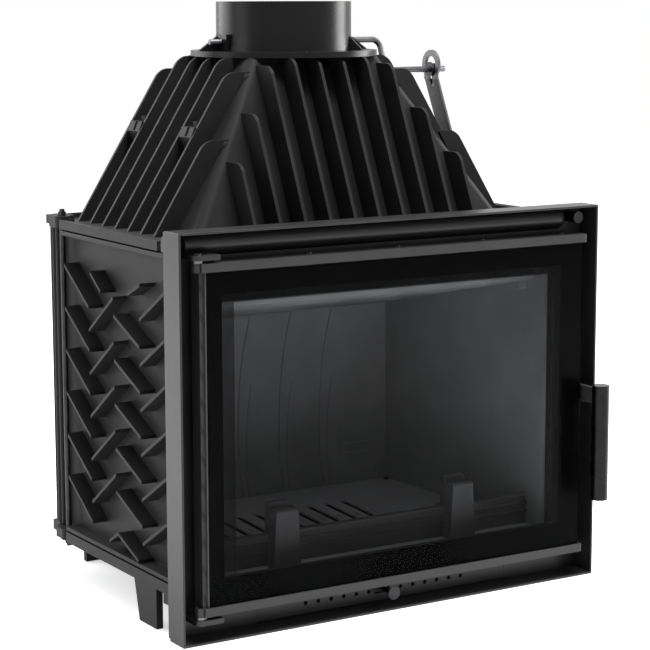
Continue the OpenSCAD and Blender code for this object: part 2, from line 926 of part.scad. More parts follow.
module crank_washer() {
  color(bright)
    difference() {
      rod_x([arm_x - crank_washer_t - gap, crank_y, crank_z], crank_washer_t, washer_r);
      rod_x([arm_x - 2 * damper_arm_t, crank_y, crank_z], 4 * damper_arm_t, axle_r);
    }
}

module crank_clip() {
  color(bright)
    difference() {
      rod_x([arm_x + damper_arm_t + 2 * gap, crank_y, crank_z], 2 * crank_washer_t, 2 * axle_r);
      rod_x([arm_x, crank_y, crank_z], 4 * damper_arm_t, axle_r);
    }
}

module damper_arm() {
  foot_z = pull_z - foot_h / 2;
  color(steel)
    difference() {
      union() {
        rod_x([arm_x, crank_y, eye_z], damper_arm_t, eye_r);
        box([arm_x, crank_y - arm_w / 2, arm_bend_z], [arm_x + damper_arm_t, crank_y + arm_w / 2, eye_z]);
        // Leaning leg
        along_y(crank_y - arm_w / 2, arm_w)
          polygon([[arm_x, arm_bend_z + damper_arm_t], [arm_x + damper_arm_t, arm_bend_z + damper_arm_t],
                   [arm_foot_x + damper_arm_t, foot_z + foot_h], [arm_foot_x + damper_arm_t, foot_z],
                   [arm_foot_x, foot_z], [arm_foot_x, foot_z + foot_h]]);
        // Foot round the rod
        box([arm_foot_x, crank_y - arm_foot_w / 2, foot_z],
            [pull_x + pull_r + foot_wrap, crank_y + arm_foot_w / 2, foot_z + foot_h]);
      }
      rod_x([arm_x - cut, crank_y, eye_z], damper_arm_t + 2 * cut, eye_hole_r);
      box([arm_x - cut, crank_y - keyhole_w / 2, eye_z - eye_hole_r - keyhole_l],
          [arm_x + damper_arm_t + cut, crank_y + keyhole_w / 2, eye_z]);
      for (s = [-1, 1])
        translate([arm_x, crank_y + s * (arm_foot_w + arm_w) / 2 - arm_w / 2, foot_z - cut])
          cube([2 * arm_w, arm_w, foot_h + cut]);
      rod_y([pull_x, crank_y - arm_w, pull_z], 2 * arm_w, pull_r);
    }
}

// Damper rod along the deck, with its knob
knob_face = 15;
knob_l = 22;
rod_end = 364;

module damper_rod() {
  color(steel)
    rod_y([pull_x, knob_face + knob_l / 2, pull_z], rod_end - knob_face - knob_l / 2, pull_r);
}

module damper_knob() {
  color(bright)
    difference() {
      rod_y([pull_x, knob_face, pull_z], knob_l, damper_knob_r);
      rod_y([pull_x, knob_face + knob_l / 2, pull_z], knob_l, pull_r);
    }
}

// Air plate in a recess of the front plate, with the slide behind it
air_low = surround_t + front_lap;
air_half_holes = 6;
air_first = 27;
slot_l = 26;
slot_h = 9;
knob_x = 0;
stem_r = 3.5;
air_knob_front = 15;
air_knob_back = 29;
window_x = 150;
window_half = 10;
slide_y = front_y + air_t + gap;
slide_h = 16;
slide_x = 138;
slide_lap = 1.5;

module air_recess() {
  box([-air_w / 2 - gap, front_y - cut, air_low - cut],
      [air_w / 2 + gap, front_y + air_t, air_low + air_h + gap]);
}

module air_window() {
  box([-window_x, front_y, air_z - window_half], [window_x, shell_y + cut, air_z + window_half]);
}

module air_holes(extra) {
  for (s = [-1, 1])
    for (n = [0:air_half_holes - 1])
      rod_y([s * (air_first + n * air_pitch), front_y - cut, air_z], 2 * front_t, air_hole / 2 + extra);
}

module air_plate() {
  color(iron)
    difference() {
      box([-air_w / 2, front_y, air_low], [air_w / 2, front_y + air_t, air_low + air_h]);
      air_holes(0);
      box([knob_x - slot_l / 2 - air_travel / 2, front_y - cut, air_z - slot_h / 2],
          [knob_x + slot_l / 2 - air_travel / 2, front_y + air_t + cut, air_z + slot_h / 2]);
    }
}

module air_slide() {
  color(iron_dark)
    difference() {
      box([-slide_x, slide_y, air_z - slide_h / 2], [slide_x, slide_y + slide_t, air_z + slide_h / 2]);
      air_holes(0);
    }
}

module air_slide_rails() {
  color(steel)
    for (s = [0, 1])
      translate([0, 0, air_z]) mirror([0, 0, s]) {
        box([-window_x, front_y + air_t, slide_h / 2 + gap], [window_x, shell_y, window_half]);
        box([-window_x, slide_y + slide_t + gap, slide_h / 2 - slide_lap], [window_x, shell_y, window_half]);
      }
}

module air_knob() {
  color(bright) {
    translate([knob_x, air_knob_front, air_z]) rotate([-90, 0, 0])
      cylinder(h = air_knob_back - air_knob_front, r1 = air_knob_r, r2 = stem_r);
    rod_y([knob_x, air_knob_back - cut, air_z], slide_y - air_knob_back + cut, stem_r);
  }
}

// Duct that leads the air from the slide up through the base plate
air_mouth_x = 120;
duct_in_l = 40;
duct_t = 3;
duct_x = 170;
duct_l = 60;
duct_low = air_low;

module air_duct() {
  color(iron_dark)
    difference() {
      box([-duct_x, shell_y, duct_low], [duct_x, shell_y + duct_l, leg_h]);
      box([-duct_x + duct_t, shell_y - cut, duct_low + duct_t],
          [duct_x - duct_t, shell_y + duct_l - duct_t, leg_h + cut]);
    }
}

// Firebox linings, thicker towards the rear
lining_drop = 66;
lining_top = panel_top - lining_drop;
baffle_z = lining_top - baffle_drop;
back_face = back_in - back_lining_t;
ledge_l = 30;
ledge_w = 12;
ledge_set = 42;
ledge_y = shell_y + ledge_set;

function lining_x(y) = side_in - lining_t - (y - shell_y) / (back_face - shell_y) * lining_draft;

module lining() {
  translate([0, 0, hearth_z]) linear_extrude(lining_top - hearth_z)
    polygon([[-side_in, shell_y + gap], [-lining_x(shell_y), shell_y + gap], [-lining_x(back_face), back_face],
             [-side_in, back_face]]);
  // Ledge that carries the baffle
  along_x(-side_in + lining_t / 2, side_in - lining_t / 2 - lining_x(ledge_y) + ledge_w)
    polygon([[ledge_y, baffle_under(ledge_y) - ledge_w],
             [ledge_y + ledge_l, baffle_under(ledge_y + ledge_l) - ledge_w],
             [ledge_y + ledge_l, baffle_under(ledge_y + ledge_l)], [ledge_y, baffle_under(ledge_y)]]);
}

module left_lining() {
  color(iron) lining();
}

module right_lining() {
  color(iron) mirror([1, 0, 0]) lining();
}

// Back lining with lancet leaves, a smaller leaf on each, and level bars between them
leaf_pitch = 75;
leaf_shift = 15;
leaf_w = 47;
leaf_base_w = 28;
leaf_t = 2.5;
leaf_in_t = 1.5;
leaf_in_w_share = 0.43;
leaf_in_h_share = 0.62;
leaf_foot = 2;
leaf_tip_in = 2;
leaf_z = floor_z + leaf_foot;
leaf_tip = hearth_z + back_lining_h - leaf_tip_in;
line_t = 2;
line_h = 12;
line_pitch = 16;
line_up = 37.5;
line_end = 6;
line_z = floor_z + line_up;
leaf_count = 5;
wide_share = 0.28;

// Half width of a leaf at share t of its height, for a leaf 1 wide
function leaf_side(t) = t < wide_share
  ? (leaf_base_w / leaf_w + (1 - leaf_base_w / leaf_w) * sin(t / wide_share * 90)) / 2
  : (1 - pow((t - wide_share) / (1 - wide_share), 2.6)) / 2;

module leaf(x, w, h, depth) {
  along_y(back_face - depth, depth + cut)
    translate([x, leaf_z])
      polygon([for (t = [0:0.1:1]) [leaf_side(t) * w, t * h],
               for (t = [0.9:-0.1:0]) [-leaf_side(t) * w, t * h]]);
}

module back_lining() {
  half = lining_x(back_face) - line_end;
  color(iron) {
    box([-corner_x + gap, back_face, hearth_z], [corner_x - gap, back_in, hearth_z + back_lining_h]);
    for (n = [0:leaf_count - 1]) {
      x = leaf_shift + (n - (leaf_count - 1) / 2) * leaf_pitch;
      leaf(x, leaf_w, leaf_tip - leaf_z, leaf_t);
      leaf(x, leaf_w * leaf_in_w_share, (leaf_tip - leaf_z) * leaf_in_h_share, leaf_t + leaf_in_t);
    }
    for (n = [0:1])
      box([-half, back_face - line_t, line_z + n * line_pitch],
          [half, back_face + cut, line_z + n * line_pitch + line_h]);
  }
}

// Sloping baffle above the fire
baffle_set = 22;
baffle_front = shell_y + baffle_set;
baffle_rear_z = hearth_z + back_lining_h;

function baffle_under(y) =
  baffle_z + (baffle_rear_z - baffle_z) * (y - baffle_front) / (back_face - baffle_front);

module baffle() {
  color(iron_dark)
    intersection() {
      along_x(-body_w, 2 * body_w)
        polygon([[baffle_front, baffle_z], [back_face, baffle_rear_z], [back_in - gap, baffle_rear_z],
                 [back_in - gap, baffle_rear_z + baffle_t], [back_face, baffle_rear_z + baffle_t],
                 [baffle_front, baffle_z + baffle_t]]);
      translate([0, 0, hearth_z]) linear_extrude(body_rear)
        polygon([[-lining_x(shell_y) + gap, shell_y], [lining_x(shell_y) - gap, shell_y],
                 [lining_x(back_in) - gap, back_in], [-lining_x(back_in) + gap, back_in]]);
    }
}

// Hearth plate round the grate, with a slot for the air along its front
grate_t = hearth_t - base_t / 2;
air_gate_in = 6;
air_gate_y = shell_y + air_gate_in;
air_gate_w = 10;
hearth_end = back_face - gap - leaf_t - leaf_in_t;

module hearth_plate() {
  color(iron)
    difference() {
      translate([0, 0, hearth_z]) linear_extrude(hearth_t)
        polygon([[-lining_x(shell_y) + gap, shell_y + gap], [lining_x(shell_y) - gap, shell_y + gap],
                 [lining_x(hearth_end) - gap, hearth_end], [-lining_x(hearth_end) + gap, hearth_end]]);
      box([-grate_x - gap, grate_front - gap, floor_z - grate_t],
          [grate_x + gap, grate_rear + gap, floor_z + cut]);
      box([-grate_x + grate_seat, grate_front + grate_seat, hearth_z - cut],
          [grate_x - grate_seat, grate_rear - grate_seat, floor_z + cut]);
      box([-air_mouth_x, air_gate_y, hearth_z - cut], [air_mouth_x, air_gate_y + air_gate_w, floor_z + cut]);
      for (p = hearth_bolt_places)
        rod_z([p[0], p[1], hearth_z - cut], 2 * hearth_t, screw_r + fit);
    }
}

// Bolts in the hearth plate's corners
corner_bolt_in = 8.5;
corner_bolt_back = 16;
mid_bolt_in = 49.5;
mid_bolt_back = 215;
hearth_bolt_places = [
  for (s = [-1, 1], b = [[corner_bolt_in, corner_bolt_back], [mid_bolt_in, mid_bolt_back]])
    [s * (lining_x(back_face - b[1]) - b[0]), back_face - b[1]]
];

module hearth_bolts() {
  color(steel)
    for (p = hearth_bolt_places) {
      rod_z([p[0], p[1], hearth_z], hearth_t, screw_r);
      hex_z([p[0], p[1], floor_z], 2 * screw_head, 2 * screw_r);
    }
}

slot_pitch = 31.5;
slot_shift = -4.5;
slit_shift = -11;
slot_turn = -5;
slot_w = 12;
short_slot_w = 5;
long_slots = 9;
long_slot_l = 162;
long_slot_rear = 15;
short_slot_l = 28;
short_slot_rear = 88;

// Slot of length l whose rear end is set in from the grate's rear edge, turned about that end
module slot(x, set, l, w) {
  translate([x, grate_rear - set - w / 2, hearth_z - cut]) rotate([0, 0, slot_turn]) {
    cylinder(h = 2 * hearth_t, r = w / 2);
    translate([0, w - l, 0]) cylinder(h = 2 * hearth_t, r = w / 2);
    translate([-w / 2, w - l, 0]) cube([w, l - w, 2 * hearth_t]);
  }
}

module fire_grate() {
  color(iron)
    difference() {
      box([-grate_x, grate_front, floor_z - grate_t], [grate_x, grate_rear, floor_z]);
      for (n = [0:long_slots - 1])
        slot((n - (long_slots - 1) / 2) * slot_pitch + slot_shift, long_slot_rear, long_slot_l, slot_w);
      for (n = [0:long_slots])
        slot((n - long_slots / 2) * slot_pitch + slit_shift, short_slot_rear, short_slot_l, short_slot_w);
    }
}

// Sheet trough under the grate that catches the ash
pan_low = 12;
pan_t = 2;
pan_lip = 8;

module ash_trough() {
  color(steel)
    difference() {
      union() {
        box([-ash_x - pan_t, ash_front - pan_t, pan_low], [ash_x + pan_t, ash_rear + pan_t, leg_h]);
        box([-ash_x - pan_lip, ash_front - pan_lip, leg_h - pan_t],
            [ash_x + pan_lip, ash_rear + pan_lip, leg_h]);
      }
      box([-ash_x, ash_front, pan_low + pan_t], [ash_x, ash_rear, leg_h + cut]);
    }
}

// Ridged front rail and the two log posts that hook over it
rail_set = 36;
rail_front = shell_y + rail_set;
rail_d = 9;
rail_steps = 3;
rail_step = 12;
rail_ridge = 5;
rail_ridge_h = 4;
rail_low = floor_z;
post_x = 149;
post_w = 44;
post_top_w = 35;
post_d = 20;
post_step = 6;
post_groove = 3;
post_bevel = 3;

module front_rail() {
  half = lining_x(rail_front + rail_d) - gap;
  color(iron) {
    box([-half, rail_front, rail_low], [half, rail_front + rail_d, rail_low + rail_h]);
    for (n = [0:rail_steps - 1])
      box([-half, rail_front - rail_ridge, rail_low + rail_h - n * rail_step - rail_ridge_h],
          [half, rail_front + cut, rail_low + rail_h - n * rail_step]);
  }
}

module log_post(x) {
  back = rail_front - rail_ridge - gap;
  front_top_z = floor_z + post_h - post_step;
  color(iron) {
    // Front slab, wider at its foot, with a bevelled top edge
    intersection() {
      along_y(back - post_d, post_d)
        polygon([[x - post_w / 2, floor_z], [x + post_w / 2, floor_z],
                 [x + post_top_w / 2, front_top_z], [x - post_top_w / 2, front_top_z]]);
      along_x(x - post_w, 2 * post_w)
        polygon([[back, floor_z], [back - post_d, floor_z], [back - post_d, front_top_z - post_bevel],
                 [back - post_d + post_bevel, front_top_z], [back, front_top_z]]);
    }
    // Bridge over the rail, and the raised rear half behind a groove
    box([x - post_top_w / 2, back - cut, rail_low + rail_h + gap],
        [x + post_top_w / 2, rail_front + rail_d, front_top_z - post_groove]);
    box([x - post_top_w / 2, back + post_groove, front_top_z - post_groove - cut],
        [x + post_top_w / 2, rail_front + rail_d, floor_z + post_h]);
  }
}

module left_log_post() {
  log_post(-post_x);
}

module right_log_post() {
  log_post(post_x);
}

// Door: frame, clamp bars, glass and seals
door_left = door_x - door_w / 2;
door_right = door_x + door_w / 2 - bar_over;
door_top = door_z + door_h;
frame_low = door_z + bar_h;
frame_high = door_top - bar_h;
frame_y = glass_t + glass_seal_t;
frame_back = frame_y + frame_d;
glass_tuck = 4;
glass_over = 1;
rope_drop = 14;
rope_side = 1;
latch_in = 12;
hook_in = 10;
glass_right = door_right + glass_over;
rope_low = floor_z - rope_drop;
rope_high = mouth_top + rope_w;
rope_x = mouth_x + rope_side;
latch_y = frame_y + latch_in;
hook_x = door_right - hook_in;
hook_t = 5;
hook_boss = 8;
latch_plate_t = 2;
shaft_in = hook_x - hook_boss;
shaft_out = door_right + latch_plate_t + gap + arm_t;

module door_frame() {
  color(iron)
    difference() {
      box([door_left, frame_y, frame_low], [door_right, frame_back, frame_high]);
      box([door_left + frame_side, frame_y - cut, door_z + frame_end],
          [door_right - frame_side, frame_back + cut, door_top - frame_end]);
      rod_x([shaft_in - gap, latch_y, handle_z], door_right, shaft_r + fit);
      bar_screw_holes();
      latch_pocket();
    }
}

module latch_pocket() {
  box([hook_x - gap, latch_y - hook_boss - gap, handle_z - 2 * hook_boss],
      [hook_x + hook_t + gap, frame_back + cut, handle_z + hook_boss + 2 * gap]);
}

// Clamp bars with a rounded end and an ear round the hinge pin
ear_r = 8;
bar_round = 4;
bar_end = door_x + door_w / 2;

module clamp_bar(z, groove_z) {
  difference() {
    union() {
      box([door_left, -bar_lip, z], [bar_end - bar_round, frame_back, z + bar_h]);
      box([bar_end - bar_round - cut, -bar_lip + bar_round, z], [bar_end, frame_back, z + bar_h]);
      rod_z([bar_end - bar_round, -bar_lip + bar_round, z], bar_h, bar_round);
      rod_z([hinge_x, hinge_y, z], bar_h, ear_r);
    }
    // Groove for the edge of the glass
    box([door_left + groove_start, 0, groove_z], [bar_end + cut, frame_y, groove_z + glass_tuck + cut]);
    rod_z([hinge_x, hinge_y, z - cut], bar_h + 2 * cut, hinge_r + fit);
  }
}

groove_start = 6;

module door_top_bar() {
  color(iron)
    difference() {
      clamp_bar(frame_high, frame_high - cut);
      bar_screw_holes();
    }
}

module door_bottom_bar() {
  color(iron)
    difference() {
      clamp_bar(door_z, frame_low - glass_tuck);
      bar_screw_holes();
    }
}

// Screws down through the top bar and up through the bottom bar
screw_end = 31;
screw_row_y = 20;
bar_screws_n = 5;
bar_screw_in = 10;
screw_pitch = (door_w - 2 * screw_end) / (bar_screws_n - 1);
bar_screw_x = [for (n = [0:bar_screws_n - 1]) door_x + (n - (bar_screws_n - 1) / 2) * screw_pitch];

module bar_screw_holes() {
  for (x = bar_screw_x) {
    rod_z([x, screw_row_y, frame_high - bar_screw_in - cut], bar_h + bar_screw_in + 2 * cut, screw_r + fit);
    rod_z([x, screw_row_y, door_z - cut], bar_h + bar_screw_in + 2 * cut, screw_r + fit);
  }
}

module bar_screws() {
  color(steel)
    for (x = bar_screw_x) {
      rod_z([x, screw_row_y, frame_high - bar_screw_in], bar_h + bar_screw_in, screw_r);
      rod_z([x, screw_row_y, door_top], screw_head, 2 * screw_r);
      rod_z([x, screw_row_y, door_z], bar_h + bar_screw_in, screw_r);
      rod_z([x, screw_row_y, door_z - screw_head], screw_head, 2 * screw_r);
    }
}

module door_glass() {
  color(glass)
    box([door_left + groove_start + gap, 0, frame_low - glass_tuck],
        [glass_right, glass_t, frame_high + glass_tuck]);
}

module glass_seal() {
  color(rope)
    difference() {
      box([door_left, glass_t, frame_low], [door_right, frame_y, frame_high]);
      box([door_left + frame_side, glass_t - cut, door_z + frame_end],
          [door_right - frame_side, frame_y + cut, door_top - frame_end]);
    }
}

module door_rope() {
  color(rope)
    difference() {
      box([-rope_x - rope_w, frame_back, rope_low], [rope_x + rope_w, front_y - gap, rope_high]);
      box([-rope_x, frame_back - cut, rope_low + rope_w], [rope_x, front_y + cut, rope_high - rope_w]);
    }
}

// Hinge pins fixed in the lugs, with washers between lugs and bars
pin_in = 1;
pin_head_r = hinge_r + screw_head;

module hinge_pins() {
  color(steel) {
    rod_z([hinge_x, hinge_y, frame_high + pin_in], lug_upper_z + lug_t - frame_high - pin_in, hinge_r);
    rod_z([hinge_x, hinge_y, lug_upper_z + lug_t], screw_head, pin_head_r);
    rod_z([hinge_x, hinge_y, lug_lower_z], frame_low - pin_in - lug_lower_z, hinge_r);
    rod_z([hinge_x, hinge_y, lug_lower_z - screw_head], screw_head, pin_head_r);
  }
}

module hinge_washers() {
  color(bright)
    for (z = [door_top + gap, door_z - washer_t])
      difference() {
        rod_z([hinge_x, hinge_y, z], washer_t - gap, ear_r);
        rod_z([hinge_x, hinge_y, z - cut], washer_t + 2 * cut, hinge_r + fit);
      }
}

// Latch: shaft, hook, arm and grip
hook_reach = 21;
hook_drop = 7;
hook_rise = 2;
tooth_w = 4;
tooth_h = 3.5;

module latch_shaft() {
  color(bright)
    rod_x([shaft_in, latch_y, handle_z], shaft_out - shaft_in, shaft_r);
}

module latch_hook() {
  color(steel)
    difference() {
      union() {
        rod_x([hook_x, latch_y, handle_z], hook_t, hook_boss);
        along_x(hook_x, hook_t)
          polygon([[latch_y, handle_z - hook_drop], [latch_y + hook_reach, handle_z - hook_drop],
                   [latch_y + hook_reach, handle_z + tooth_h], [latch_y + hook_reach - tooth_w, handle_z + tooth_h],
                   [latch_y + hook_reach - tooth_w, handle_z + hook_rise], [latch_y, handle_z + hook_rise]]);
      }
      rod_x([hook_x - cut, latch_y, handle_z], hook_t + 2 * cut, shaft_r);
    }
}

// Keeper on the front plate, with a bar that the hook's tooth rises behind
keeper_cheek = 2;
keeper_play = 0.7;
keeper_gap = 2;
keeper_lift = 2;
keeper_front = frame_back + keeper_gap;
keeper_bar = 4;
keeper_z = handle_z + hook_rise + keeper_lift;
keeper_h = 8;

module latch_keeper() {
  x0 = hook_x - keeper_play - keeper_cheek;
  x1 = hook_x + hook_t + keeper_play + keeper_cheek;
  color(bright)
    difference() {
      box([x0, keeper_front, keeper_z], [x1, front_y, keeper_z + keeper_h]);
      box([x0 + keeper_cheek, keeper_front + keeper_bar, keeper_z - cut],
          [x1 - keeper_cheek, front_y + cut, keeper_z + keeper_h + cut]);
    }
}

// Bearing plate on the door's edge
bearing_low = 35;
bearing_high = 12;

module latch_bearing() {
  color(bright)
    difference() {
      box([door_right, 0, handle_z - bearing_low],
          [door_right + latch_plate_t, frame_back, handle_z + bearing_high]);
      box([door_right - cut, -cut, handle_z - bearing_low - cut],
          [bar_end + gap, glass_t + cut, handle_z + bearing_high + cut]);
      rod_x([door_right - cut, latch_y, handle_z], 2 * latch_plate_t, shaft_r + fit);
    }
}

grip_rise = 17;
grip_out = 2.5;
grip_x = shaft_out - arm_t / 2 + grip_out;
grip_top = handle_z + grip_rise;
grip_seam = grip_top - grip_top_l;
arm_round = arm_h / 2;

module handle_arm() {
  color(steel)
    difference() {
      union() {
        rod_x([shaft_out - arm_t, latch_y, handle_z], arm_t, arm_round);
        box([shaft_out - arm_t, -grip_y + grip_d / 4, handle_z - arm_h / 2],
            [shaft_out, latch_y, handle_z + arm_h / 2]);
      }
      rod_x([shaft_out - arm_t - cut, latch_y, handle_z], arm_t + 2 * cut, shaft_r);
      rod_z([grip_x, -grip_y, handle_z - arm_h], 2 * arm_h, grip_d / 2);
    }
}

module grip_upper() {
  color(bright)
    rod_z([grip_x, -grip_y, grip_seam], grip_top_l, grip_d / 2);
}

module grip_lower() {
  color(bright)
    rod_z([grip_x, -grip_y, grip_seam - grip_low_l], grip_low_l, grip_d / 2);
}

surround();
front_plate();
base_plate();
lower_rope();
left_side_panel();
right_side_panel();
back_panel();
upper_rope();
top_plate();
tie_rods();
tie_nuts();
hood();
hood_bolts();
flue_collar();
flange_bolts();
damper_blade();
blade_screws();
damper_axle();
crank_washer();
crank_clip();
damper_arm();
damper_rod();
damper_knob();
air_plate();
air_slide();
air_slide_rails();
air_knob();
air_duct();
left_lining();
right_lining();
back_lining();
baffle();
hearth_plate();
hearth_bolts();
fire_grate();
ash_trough();
front_rail();
left_log_post();
right_log_post();
door_frame();
door_top_bar();
door_bottom_bar();
door_glass();
glass_seal();
door_rope();
bar_screws();
hinge_pins();
hinge_washers();
latch_shaft();
latch_hook();
handle_arm();
grip_upper();
grip_lower();
latch_bearing();
latch_keeper();
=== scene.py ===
"""Looks of the cast-iron fireplace insert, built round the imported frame.

Each sub-assembly is a class with its sizes as fields. It takes the frame's solids, gives them eased
edges and a finish, and adds the pieces that are shaped here. Lengths are in metres, and in
millimetres where the name ends in mm.
"""

import json
import logging
import math
from dataclasses import dataclass, field
from enum import Enum
from typing import Any, Callable, Sequence

import bpy
from mathutils import Euler, Matrix, Vector

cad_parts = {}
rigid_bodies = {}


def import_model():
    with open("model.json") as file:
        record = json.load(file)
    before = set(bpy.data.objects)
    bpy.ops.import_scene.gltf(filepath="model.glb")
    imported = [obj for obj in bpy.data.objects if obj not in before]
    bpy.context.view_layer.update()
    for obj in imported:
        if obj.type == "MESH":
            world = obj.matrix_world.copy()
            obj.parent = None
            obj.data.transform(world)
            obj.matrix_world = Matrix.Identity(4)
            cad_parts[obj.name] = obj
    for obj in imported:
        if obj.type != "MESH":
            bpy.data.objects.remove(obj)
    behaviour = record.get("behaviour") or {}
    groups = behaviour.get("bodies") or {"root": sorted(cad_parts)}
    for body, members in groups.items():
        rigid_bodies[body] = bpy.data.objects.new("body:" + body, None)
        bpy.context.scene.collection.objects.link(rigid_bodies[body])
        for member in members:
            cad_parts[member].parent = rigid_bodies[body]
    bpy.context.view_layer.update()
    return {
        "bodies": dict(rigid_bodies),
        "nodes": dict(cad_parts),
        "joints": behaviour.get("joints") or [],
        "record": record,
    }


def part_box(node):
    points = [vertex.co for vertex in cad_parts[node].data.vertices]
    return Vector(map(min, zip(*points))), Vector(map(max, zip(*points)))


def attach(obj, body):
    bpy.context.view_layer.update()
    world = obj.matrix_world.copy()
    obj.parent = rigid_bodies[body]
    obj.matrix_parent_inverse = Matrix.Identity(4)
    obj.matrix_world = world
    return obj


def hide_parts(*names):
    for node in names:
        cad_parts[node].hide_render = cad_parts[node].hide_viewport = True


LOG = logging.getLogger("fireplace_insert")
MM = 0.001
# Vertices nearer to each other than this are merged.
WELD = 0.00001


# Colour and node helpers


def linear(code: str, alpha: float = 1.0) -> tuple[float, float, float, float]:
    """Turns an sRGB hex colour to linear light.

    Args:
        code: The colour, such as "#3a3a3c".
        alpha: The fourth value.

    Returns:
        Red, green and blue in linear light, and alpha.
    """
    parts = [int(code[i : i + 2], 16) / 255 for i in (1, 3, 5)]
    light = [c / 12.92 if c <= 0.04045 else ((c + 0.055) / 1.055) ** 2.4 for c in parts]
    return (light[0], light[1], light[2], alpha)


def add_node(tree: bpy.types.NodeTree, kind: str, settings: dict[str, Any] | None = None,
             **links: Any) -> bpy.types.Node:
    """Adds one node with its settings, values and links.

    Args:
        tree: The node tree that gets the node.
        kind: Blender's name of the node type.
        settings: Properties of the node, set before its sockets.
        **links: Socket names with underscores for spaces, or i and the socket's number. A socket is
            linked and any other value is set.

    Returns:
        The new node.
    """
    node = tree.nodes.new(kind)
    for key, value in (settings or {}).items():
        setattr(node, key, value)
    for key, value in links.items():
        name = key.replace("_", " ")
        numbered = name[0] == "i" and name[1:].isdigit()
        socket = node.inputs[int(name[1:])] if numbered else node.inputs[name]
        if isinstance(value, bpy.types.NodeSocket):
            tree.links.new(value, socket)
        else:
            socket.default_value = value
    return node


def new_material(name: str) -> tuple[bpy.types.Material, bpy.types.NodeTree]:
    """Makes an empty node material.

    Args:
        name: The material's name.

    Returns:
        The material and its node tree.
    """
    material = bpy.data.materials.new(name)
    material.use_nodes = True
    material.node_tree.nodes.clear()
    return material, material.node_tree


def grain(tree: bpy.types.NodeTree, size_mm: float, detail: float = 3.0,
          rough: float = 0.6) -> bpy.types.NodeSocket:
    """Noise in the piece's own coordinates at a real grain size.

    Args:
        tree: The node tree.
        size_mm: Mean width of one grain.
        detail: Octaves of finer noise.
        rough: Strength of the finer noise.

    Returns:
        The noise value.
    """
    place = add_node(tree, "ShaderNodeTexCoord")
    # A light grain and a dark one beside it take about one unit of the noise.
    noise = add_node(tree, "ShaderNodeTexNoise", Vector=place.outputs["Object"],
                     Scale=1 / (2 * size_mm * MM), Detail=detail, Roughness=rough)
    return noise.outputs["Fac"]


def ramp(tree: bpy.types.NodeTree, value: bpy.types.NodeSocket, low: str, high: str,
         start: float = 0.35, end: float = 0.65) -> bpy.types.NodeSocket:
    """Blends two colours by a value.

    Args:
        tree: The node tree.
        value: The value that picks the colour.
        low: sRGB hex at start.
        high: sRGB hex at end.
        start: Value that gives the low colour.
        end: Value that gives the high colour.

    Returns:
        The blended colour.
    """
    node = add_node(tree, "ShaderNodeValToRGB", Fac=value)
    node.color_ramp.elements[0].position = start
    node.color_ramp.elements[0].color = linear(low)
    node.color_ramp.elements[1].position = end
    node.color_ramp.elements[1].color = linear(high)
    return node.outputs["Color"]


def between(tree: bpy.types.NodeTree, value: bpy.types.NodeSocket, low: float,
            high: float) -> bpy.types.NodeSocket:
    """Spreads a noise value, which seldom leaves 0.2 to 0.8, from low to high."""
    node = add_node(tree, "ShaderNodeMapRange", Value=value, From_Min=0.2, From_Max=0.8,
                    To_Min=low, To_Max=high)
    return node.outputs["Result"]


# Finishes


@dataclass(frozen=True)
class GrainedSkin:
    """A skin with a fine grain and soft mottling: painted or bare castings, sheet, ground glass.

    Attributes:
        name: The material's name.
        dark: sRGB hex of the darker mottling.
        light: sRGB hex of the lighter mottling.
        rough_low: Least roughness.
        rough_high: Greatest roughness.
        grain_mm: Width of one grain.
        depth: Share of the grain's relief that is felt.
        shine: Specular level.
        relief_mm: Height of the grain's relief.
        mottle_mm: Width of the mottling.
    """

    name: str
    dark: str
    light: str
    rough_low: float
    rough_high: float
    grain_mm: float
    depth: float
    shine: float
    relief_mm: float = 0.6
    mottle_mm: float = 38

    def build(self) -> bpy.types.Material:
        """Makes the material.

        Returns:
            The material.
        """
        material, tree = new_material(self.name)
        cloud = grain(tree, self.mottle_mm, 4.0, 0.55)
        skin = grain(tree, self.grain_mm, 3.0, 0.65)
        # The grain is about 0.3 mm wide in reality and is drawn coarser so that it shows.
        bump = add_node(tree, "ShaderNodeBump", Strength=self.depth, Distance=self.relief_mm * MM,
                        Height=skin)
        shader = add_node(tree, "ShaderNodeBsdfPrincipled",
                          Base_Color=ramp(tree, cloud, self.dark, self.light, 0.3, 0.7),
                          Roughness=between(tree, cloud, self.rough_low, self.rough_high),
                          Normal=bump.outputs["Normal"])
        shader.inputs["Specular IOR Level"].default_value = self.shine
        add_node(tree, "ShaderNodeOutputMaterial", Surface=shader.outputs["BSDF"])
        return material


